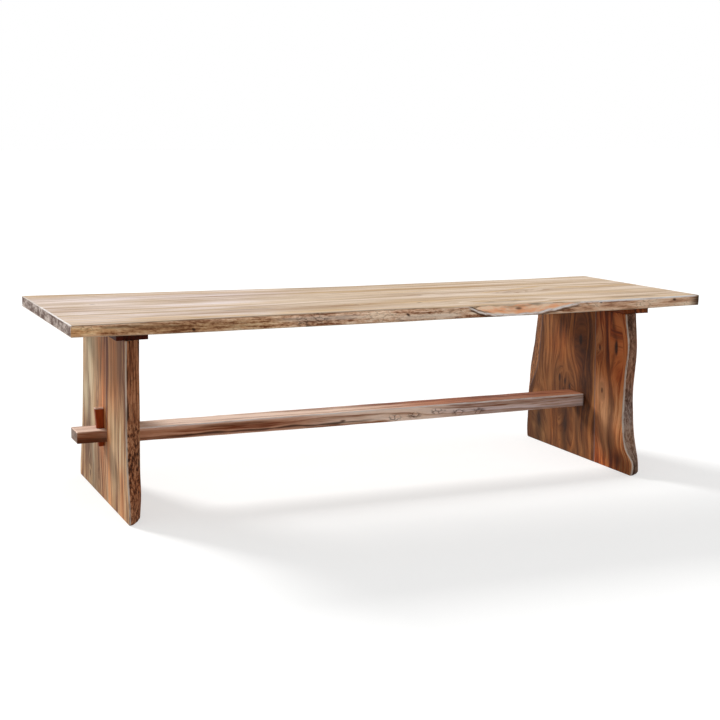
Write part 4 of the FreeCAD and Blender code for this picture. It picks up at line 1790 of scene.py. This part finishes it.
def left_leg_finish(name: str, seed: float, pith_across: float) -> WoodFinish:
    """Tan and olive wood of the left leg."""
    return WoodFinish(
        name, light=srgb(214, 178, 138), middle=srgb(182, 135, 92), dark=srgb(106, 62, 34),
        amber=srgb(190, 114, 60), mauve=srgb(184, 152, 112), bark=LEFT_BARK, seed=seed,
        pith_across=pith_across, pith_depth=0.07, wave_rate=2.0, ring_pitch=0.012, run=0.9, contrast=1.7,
        lines=0.75, mauve_share=0.45,
    )


def right_leg_finish(name: str, seed: float, pith_across: float, warm: bool) -> WoodFinish:
    """Brown wood of the right leg: the front board is redder and lighter than the back one."""
    return WoodFinish(
        name,
        light=srgb(210, 138, 82) if warm else srgb(162, 108, 64),
        middle=srgb(166, 91, 41) if warm else srgb(114, 68, 35),
        dark=srgb(90, 42, 15) if warm else srgb(60, 29, 12),
        amber=srgb(178, 82, 31) if warm else srgb(130, 70, 30),
        mauve=srgb(160, 100, 57) if warm else srgb(112, 77, 44),
        bark=RIGHT_BARK if warm else RIGHT_BACK_BARK,
        seed=seed, pith_across=pith_across, pith_depth=0.07, wave_rate=2.6, ring_pitch=0.011, run=0.7,
        contrast=1.6 if warm else 1.25, lines=0.75 if warm else 0.55, mauve_share=0.35,
    )


def stretcher_finish() -> WoodFinish:
    """Pinkish tan wood of the stretcher."""
    return WoodFinish(
        "stretcher_wood", light=srgb(248, 222, 204), middle=srgb(224, 186, 158), dark=srgb(146, 92, 60),
        amber=srgb(170, 98, 57), mauve=srgb(198, 168, 154), bark=BEAM_EDGE, seed=31.0,
        pith_across=0.1, pith_depth=-0.1, ring_pitch=0.012, contrast=1.7, amber_share=0.15, mauve_share=0.2,
        end_light=srgb(152, 134, 124), end_dark=srgb(112, 91, 78), deep_share=0.2,
    )


def wedge_finish(name: str, seed: float) -> WoodFinish:
    """Dark reddish wood of the wedges, paler on their heads."""
    return WoodFinish(
        name, light=srgb(192, 88, 38), middle=srgb(158, 66, 22), dark=srgb(104, 38, 9),
        amber=srgb(164, 66, 20), mauve=srgb(144, 62, 26), bark=WEDGE_EDGE, seed=seed,
        pith_across=0.05, pith_depth=-0.9, end_light=srgb(226, 196, 172), end_dark=srgb(190, 142, 112),
    )


def cleat_finish(name: str, shaded_copy: bool) -> WoodFinish:
    """Reddish brown wood of the cleats; the left one is a copy painted near black, as painted shade under the
    table top.
    """
    return WoodFinish(
        name,
        light=srgb(98, 36, 12) if shaded_copy else srgb(178, 100, 54),
        middle=srgb(74, 22, 6) if shaded_copy else srgb(142, 72, 34),
        dark=srgb(42, 10, 3) if shaded_copy else srgb(84, 38, 16),
        amber=srgb(82, 24, 6) if shaded_copy else srgb(150, 72, 30),
        mauve=srgb(68, 24, 10) if shaded_copy else srgb(132, 76, 44),
        bark=NO_BARK, source=GrainSource.OBJECT, grain=Grain.ACROSS_TABLE, seed=41.0, pith_across=0.6,
        pith_depth=-0.5,
    )


def tongue_finish() -> WoodFinish:
    """Pale beech of the loose tongues."""
    return WoodFinish(
        "tongue_wood", light=srgb(226, 198, 158), middle=srgb(208, 176, 134), dark=srgb(176, 138, 98),
        amber=srgb(204, 160, 108), mauve=srgb(206, 180, 150), bark=NO_BARK,
        source=GrainSource.OBJECT, seed=47.0,
    )


def streaks(kind: Streak, *rows: tuple[float, ...]) -> tuple[Ribbon, ...]:
    """Streaks of one kind, from rows of start, end, place across, width, strength and drift."""
    return tuple(Ribbon(kind, *row) for row in rows)


def front_edge_features() -> tuple[tuple[Knot, ...], tuple[Ribbon, ...], tuple[Knot, ...]]:
    """Knots, streaks and worm burrows on the front edge of the top.

    Returns:
        The knots, the streaks and the patches of burrows.
    """
    line, reach = -0.51, 0.06
    knots = (
        Knot(-0.871, line, 0.007, 1.0, 1.3, 0.719), Knot(-0.03, line, 0.007, 1.0, 1.4, 0.731),
        Knot(0.812, line, 0.006, 1.0, 1.6, 0.743), Knot(1.173, line, 0.008, 0.8, 1.6, 0.737),
        Knot(1.306, -0.49, 0.05, 0.75, 0.8, 0.728),
    )
    ribbons = (
        Ribbon(Streak.AMBER, -1.4, -1.08, line, reach, 1.0, level=0.728, height=0.019),
        Ribbon(Streak.AMBER, -1.7, -0.35, line, reach, 0.85, level=0.728, height=0.019),
        Ribbon(Streak.DARK, -1.24, -0.5, line, reach, 0.3, level=0.728, height=0.019),
        Ribbon(Streak.DARK, -1.22, -1.02, line, reach, 0.7, level=0.738, height=0.005),
        Ribbon(Streak.DARK, -1.08, -0.88, line, reach, 0.6, level=0.733, height=0.005),
        Ribbon(Streak.DARK, -0.8, -0.45, line, reach, 0.4, level=0.72, height=0.004),
        Ribbon(Streak.PALE, -0.12, 0.22, line, reach, 0.7, level=0.722, height=0.008),
        Ribbon(Streak.PALE, -0.6, -0.15, line, reach, 0.6, level=0.733, height=0.007),
        Ribbon(Streak.DARK, 1.24, 1.4, line, 0.08, 1.0, level=0.728, height=0.022),
    )
    worms = (Knot(-0.453, line, 0.022, 1.0, 1.8, 0.722), Knot(-0.384, line, 0.024, 1.0, 1.8, 0.734))
    return knots, ribbons, worms


def top_boards() -> list[Board]:
    """Boards of the top.

    Returns:
        The boards, from front to back.
    """
    common = {"slot": "top_wood", "grain": Grain.ALONG_TABLE, "pale_arris_face": Face.HIGH, "highlight_and_wear_start": True,
              "rounded_end": True, "corner_ease": 0.007}
    edge_knots, edge_ribbons, edge_worms = front_edge_features()
    front = Board(
        node="top_board_front", front=Edge.LIVE, back=Edge.SEAM, hollow=Hollow(), seed=1.0,
        finish=top_finish("top_front_wood", 1.0, 0.4),
        # Negative arris weights on the left paint shade along the front arris; positive ones on the right
        # paint a pale arris with wear and a painted highlight.
        arris_weights=((-1.3, -0.45), (0.1, -0.45), (0.2, 0.4), (0.7, 1.4), (0.95, 1.7), (1.27, 1.2),
                       (1.3, 0.0)),
        rough_weights=((-1.3, 0.7), (-0.6, 1.0), (0.2, 0.9), (0.7, 0.3), (1.3, 0.3)),
        worms=edge_worms,
        knots=(Knot(0.38, -0.385, 0.014, 0.6, 3.0), Knot(0.493, -0.385, 0.02, 0.5, 2.5),
               Knot(0.45, -0.492, 0.009, 0.7, 2.6), Knot(0.111, -0.302, 0.008), Knot(-0.14, -0.262, 0.007),
               *edge_knots),
        ribbons=(
            *streaks(Streak.DARK, (0.88, 1.16, -0.424, 0.014, 1.0), (0.26, 0.6, -0.405, 0.018, 0.4),
                     (0.36, 0.6, -0.488, 0.004, 0.6, 0.01), (0.33, 0.52, -0.5, 0.003, 0.5),
                     (-0.72, -0.46, -0.27, 0.014, 0.6)),
            # Broad mauve row at the left: pinkish tone, partly painted light that makes the top's left end
            # lighter.
            *streaks(Streak.MAUVE, (-1.7, -0.3, -0.33, 0.14, 0.9)),
            *streaks(Streak.AMBER, (-1.1, -0.8, -0.392, 0.03, 0.8), (-0.92, -0.58, -0.434, 0.025, 0.9),
                     (-0.58, -0.18, -0.413, 0.04, 0.8), (-1.36, -1.0, -0.303, 0.02, 0.5),
                     (-0.3, 0.35, -0.25, 0.05, 0.7), (0.6, 1.1, -0.228, 0.015, 0.9)),
            *streaks(Streak.PALE, (-0.38, -0.06, -0.206, 0.016, 0.9)),
            *edge_ribbons,
        ),
        **common,
    )
    middle = Board(
        node="top_board_middle", front=Edge.SEAM, back=Edge.SEAM, station_step=0.007,
        finish=top_finish("top_middle_wood", 5.0, 0.6),
        knots=(Knot(0.228, -0.05, 0.007), Knot(0.62, -0.085, 0.014, 0.5), Knot(0.8, -0.06, 0.012, 0.4)),
        ribbons=(
            *streaks(Streak.PALE, (-0.92, -0.58, -0.175, 0.016, 0.9), (-0.92, -0.2, -0.016, 0.02, 0.7),
                     (0.85, 1.35, -0.114, 0.03, 0.7), (0.1, 0.75, -0.077, 0.05, 0.6)),
            *streaks(Streak.AMBER, (0.42, 0.95, -0.11, 0.014, 1.0, 0.23), (0.82, 1.4, 0.0, 0.025, 0.9)),
            # Broad mauve row at the left: pinkish tone, partly painted light that makes the top's left end
            # lighter.
            *streaks(Streak.MAUVE, (-1.7, -0.3, -0.04, 0.16, 1.0)),
        ),
        **common,
    )
    back = Board(
        node="top_board_back", front=Edge.SEAM, back=Edge.LIVE,
        finish=top_finish("top_back_wood", 9.0, -0.5, TOP_BACK_BARK),
        seed=3.0, arris_weights=((0.0, -0.4),), knots=(Knot(-1.098, 0.117, 0.007),),
        ribbons=(
            *streaks(Streak.AMBER, (-0.4, 0.75, 0.194, 0.026, 0.8)),
            *streaks(Streak.DARK, (-0.25, 0.1, 0.381, 0.012, 0.7)),
            # Broad mauve row at the left: pinkish tone, partly painted light that makes the top's left end
            # lighter.
            *streaks(Streak.MAUVE, (-1.7, -0.1, 0.3, 0.2, 1.0)),
        ),
        **common,
    )
    return [front, middle, back]


def leg_sizes(slot: str) -> dict[str, Any]:
    """What the boards of one leg share."""
    return {"slot": slot, "grain": Grain.UPRIGHT, "pale_arris_face": Face.LOW, "glue_line": True,
            "rounded_start": True, "low_face_step": 0.005}


def left_leg_boards() -> list[Board]:
    """Boards of the left leg.

    Returns:
        The boards, front then back.
    """
    common = leg_sizes("left_leg_wood")
    front = Board(
        node="left_leg_front_board", front=Edge.LIVE, back=Edge.SEAM, seed=5.0,
        finish=left_leg_finish("left_leg_front_wood", 14.4, -0.62),
        rough_weights=((0.0, 1.0), (0.35, 1.0), (0.38, 0.12), (0.7, 0.12)),
        ribbons=(
            # The broad dark rows from 0.36 and 0.62 up to the top end are painted shade under the table top.
            *streaks(Streak.DARK, (0.62, 0.84, -0.257, 0.014, 0.6), (0.46, 0.8, -0.168, 0.008, 0.5),
                     (0.36, 1.0, -0.2, 0.14, 0.2), (0.62, 1.1, -0.15, 0.3, 0.3)),
            *streaks(Streak.AMBER, (0.3, 0.95, -0.16, 0.12, 1.0), (-0.12, 0.22, -0.29, 0.07, 0.7),
                     (-0.08, 0.34, -0.068, 0.03, 0.8)),
            *streaks(Streak.PALE, (0.36, 0.95, -0.225, 0.045, 0.6), (0.0, 0.5, -0.155, 0.06, 0.8)),
        ),
        **common,
    )
    back = Board(
        node="left_leg_back_board", front=Edge.SEAM, back=Edge.LIVE, seed=7.0, mortise=True,
        finish=left_leg_finish("left_leg_back_wood", 17.0, 0.7), arris_weights=((0.0, 0.3),),
        knots=(Knot(0.05, 0.28, 0.01), Knot(0.064, 0.116, 0.006), Knot(0.357, 0.126, 0.005, 1.0, 5.0)),
        ribbons=(
            # The broad dark row from 0.6 up to the top end is painted shade under the table top.
            *streaks(Streak.DARK, (0.42, 0.82, 0.075, 0.012, 0.85, -0.07), (0.6, 1.1, 0.1, 0.3, 0.1),
                     (-0.2, 0.3, 0.25, 0.16, 0.5), (-0.04, 0.14, 0.221, 0.012, 0.8),
                     (-0.04, 0.12, 0.084, 0.012, 0.7)),
            *streaks(Streak.AMBER, (0.1, 0.92, 0.05, 0.06, 0.75), (-0.2, 0.3, 0.03, 0.05, 0.4)),
            *streaks(Streak.PALE, (0.3, 1.0, 0.11, 0.08, 1.0), (0.2, 1.0, 0.3, 0.14, 0.9),
                     (0.2, 0.68, 0.33, 0.03, 0.6)),
            *streaks(Streak.MAUVE, (-0.2, 0.3, 0.28, 0.12, 0.7), (0.1, 1.0, 0.3, 0.1, 0.8)),
        ),
        **common,
    )
    return [front, back]


def right_leg_boards() -> list[Board]:
    """Boards of the right leg.

    Returns:
        The boards, front then back.
    """
    common = leg_sizes("right_leg_wood")
    front = Board(
        node="right_leg_front_board", front=Edge.LIVE, back=Edge.SEAM, seed=9.0,
        finish=right_leg_finish("right_leg_front_wood", 22.6, -0.72, True),
        knots=(Knot(0.52, -0.3, 0.017, 1.0, 2.8), Knot(0.505, -0.171, 0.009), Knot(0.323, -0.191, 0.008)),
        ribbons=(
            *streaks(Streak.DARK, (0.48, 0.84, -0.31, 0.02, 0.75, 0.1),
                     (0.36, 0.58, -0.245, 0.018, 0.6, -0.06), (-0.1, 0.24, -0.265, 0.03, 0.5),
                     (-0.12, 0.11, -0.35, 0.07, 0.8), (0.3, 1.0, -0.24, 0.14, 0.25)),
            *streaks(Streak.MAUVE, (0.0, 0.44, -0.2, 0.12, 0.9)),
            *streaks(Streak.AMBER, (0.25, 0.95, -0.3, 0.12, 0.9)),
            *streaks(Streak.PALE, (0.02, 0.5, -0.22, 0.09, 0.65)),
        ),
        **common,
    )
    back = Board(
        node="right_leg_back_board", front=Edge.SEAM, back=Edge.LIVE, seed=11.0, mortise=True,
        finish=right_leg_finish("right_leg_back_wood", 25.0, -0.5, False), arris_weights=((0.0, 0.9),),
        knots=(Knot(0.517, -0.013, 0.017), Knot(0.326, 0.166, 0.012), Knot(0.315, 0.119, 0.01),
               Knot(0.298, 0.078, 0.012, 0.8), Knot(0.12, 0.114, 0.022, 0.7), Knot(0.11, 0.35, 0.024, 0.7)),
        ribbons=(
            *streaks(Streak.DARK, (0.36, 0.88, -0.06, 0.03, 0.35, 0.1), (-0.08, 0.22, 0.35, 0.04, 0.8),
                     (-0.08, 0.26, 0.114, 0.04, 0.8), (-0.08, 0.2, 0.42, 0.03, 0.5)),
            *streaks(Streak.PALE, (0.0, 0.22, 0.263, 0.025, 0.5), (-0.08, 0.26, -0.08, 0.022, 0.6, 0.15),
                     (-0.08, 0.22, 0.0, 0.012, 0.5, 0.06), (0.22, 0.56, 0.28, 0.03, 0.5, -0.13),
                     (0.28, 0.85, 0.2, 0.14, 0.4)),
            *streaks(Streak.AMBER, (0.3, 1.0, 0.06, 0.2, 0.6)),
        ),
        **common,
    )
    return [front, back]


def stretcher_features() -> tuple[tuple[Knot, ...], tuple[Ribbon, ...], tuple[Knot, ...]]:
    """Knots, streaks and worm burrows of the stretcher.

    Returns:
        The knots, the streaks and the patches of burrows.
    """
    front, top, middle, skin = -0.044, 0.287, 0.03, 0.007
    knots = (Knot(-0.111, front, 0.006, 0.8, 3.2, 0.247), Knot(0.35, front, 0.004, 0.6, 2.2, 0.258))
    ribbons = (
        Ribbon(Streak.AMBER, -1.6, 0.0, front, skin, 0.8, level=0.25, height=0.036),
        Ribbon(Streak.PALE, -0.5, 0.55, front, skin, 0.5, level=0.26, height=0.022),
        Ribbon(Streak.DARK, -0.75, -0.38, front, skin, 0.55, level=0.268, height=0.006),
        Ribbon(Streak.DARK, -1.05, -0.55, front, skin, 0.5, level=0.238, height=0.005),
        # The next two rows darken the top's right half: partly warm tone, partly painted shade from the table
        # top above.
        Ribbon(Streak.AMBER, -0.1, 1.6, middle, 0.12, 1.0, level=top, height=0.007),
        Ribbon(Streak.DARK, 0.35, 1.3, middle, 0.08, 0.25, level=top, height=0.007),
        Ribbon(Streak.DARK, 0.35, 1.3, middle - 0.03, 0.014, 0.5, level=top, height=0.006),
        Ribbon(Streak.DARK, 0.5, 1.3, middle + 0.03, 0.01, 0.5, level=top, height=0.006),
        Ribbon(Streak.MAUVE, 0.2, 1.5, front, skin, 1.0, level=0.25, height=0.036),
        Ribbon(Streak.DARK, 0.42, 1.25, front, skin, 0.4, level=0.237, height=0.006),
        Ribbon(Streak.DARK, 0.55, 1.2, front, skin, 0.3, level=0.266, height=0.005),
        Ribbon(Streak.PALE, -1.5, -0.9, middle, 0.2, 1.0, level=0.286, height=0.008),
        # Pale row on the top's left half: pinkish tone, partly painted light where the left leg's shadow
        # falls.
        Ribbon(Streak.PALE, -1.3, 0.2, middle, 0.12, 1.0, level=top, height=0.007),
        Ribbon(Streak.AMBER, -1.6, -0.98, front, 2 * skin, 0.9, level=0.25, height=0.034),
        Ribbon(Streak.DARK, -1.38, -0.99, front, 2 * skin, 0.95, level=0.244, height=0.014),
        Ribbon(Streak.DARK, -1.38, -0.99, front, 2 * skin, 0.5, level=0.262, height=0.018),
    )
    places = ((0.118, 0.243), (0.208, 0.247), (0.314, 0.256), (0.413, 0.246), (0.506, 0.246))
    worms = tuple(Knot(along, front, 0.016, 1.0, 2.4, level) for along, level in places)
    return knots, ribbons, worms


def joinery() -> list[WoodPiece]:
    """The stretcher and its two wedges.

    Returns:
        The three pieces.
    """
    knots, ribbons, worms = stretcher_features()
    pieces: list[WoodPiece] = [Stretcher(
        node="stretcher", slot="stretcher_wood", grain=Grain.ALONG_TABLE, finish=stretcher_finish(), seed=2.0,
        knots=knots, ribbons=ribbons, worms=worms,
    )]
    for side, name in ((-1, "left_wedge"), (1, "right_wedge")):
        pieces.append(Wedge(
            node=name, slot="wedge_wood", grain=Grain.UPRIGHT, body=name, side=side,
            finish=wedge_finish(name + "_wood", 35.0 + side),
        ))
    return pieces


def dress_solids() -> None:
    """Set the hex screws, and give the solids that stay as they are their finishes."""
    # The left cleat gets the near-black copy: painted shade under the table top.
    shaded_cleat = cleat_finish("left_cleat_wood", True).material()
    light_cleat = cleat_finish("right_cleat_wood", False).material()
    tongue_wood = tongue_finish().material()
    steel = SteelFinish().material()
    for screws in ("left_top_screws", "right_top_screws"):
        HexScrews(screws).build(steel)
    kept = {"left_cleat": shaded_cleat, "right_cleat": light_cleat}
    for name in ("left_leg_screws", "right_leg_screws"):
        kept[name] = steel
    for joint in ("top_front_seam", "top_back_seam", "left_leg", "right_leg"):
        kept[joint + "_tongues"] = tongue_wood
    for name, material in kept.items():
        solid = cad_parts[name]
        for place in range(len(solid.data.materials)):
            solid.data.materials[place] = material
        LOG.info("%s: dressed", name)


def main() -> None:
    """Build the studio and every piece in order."""
    logging.basicConfig(level=logging.INFO, format="%(message)s")
    Studio().build()
    for piece in top_boards() + left_leg_boards() + right_leg_boards() + joinery():
        piece.build()
    dress_solids()


if __name__ == "__main__":
    main()
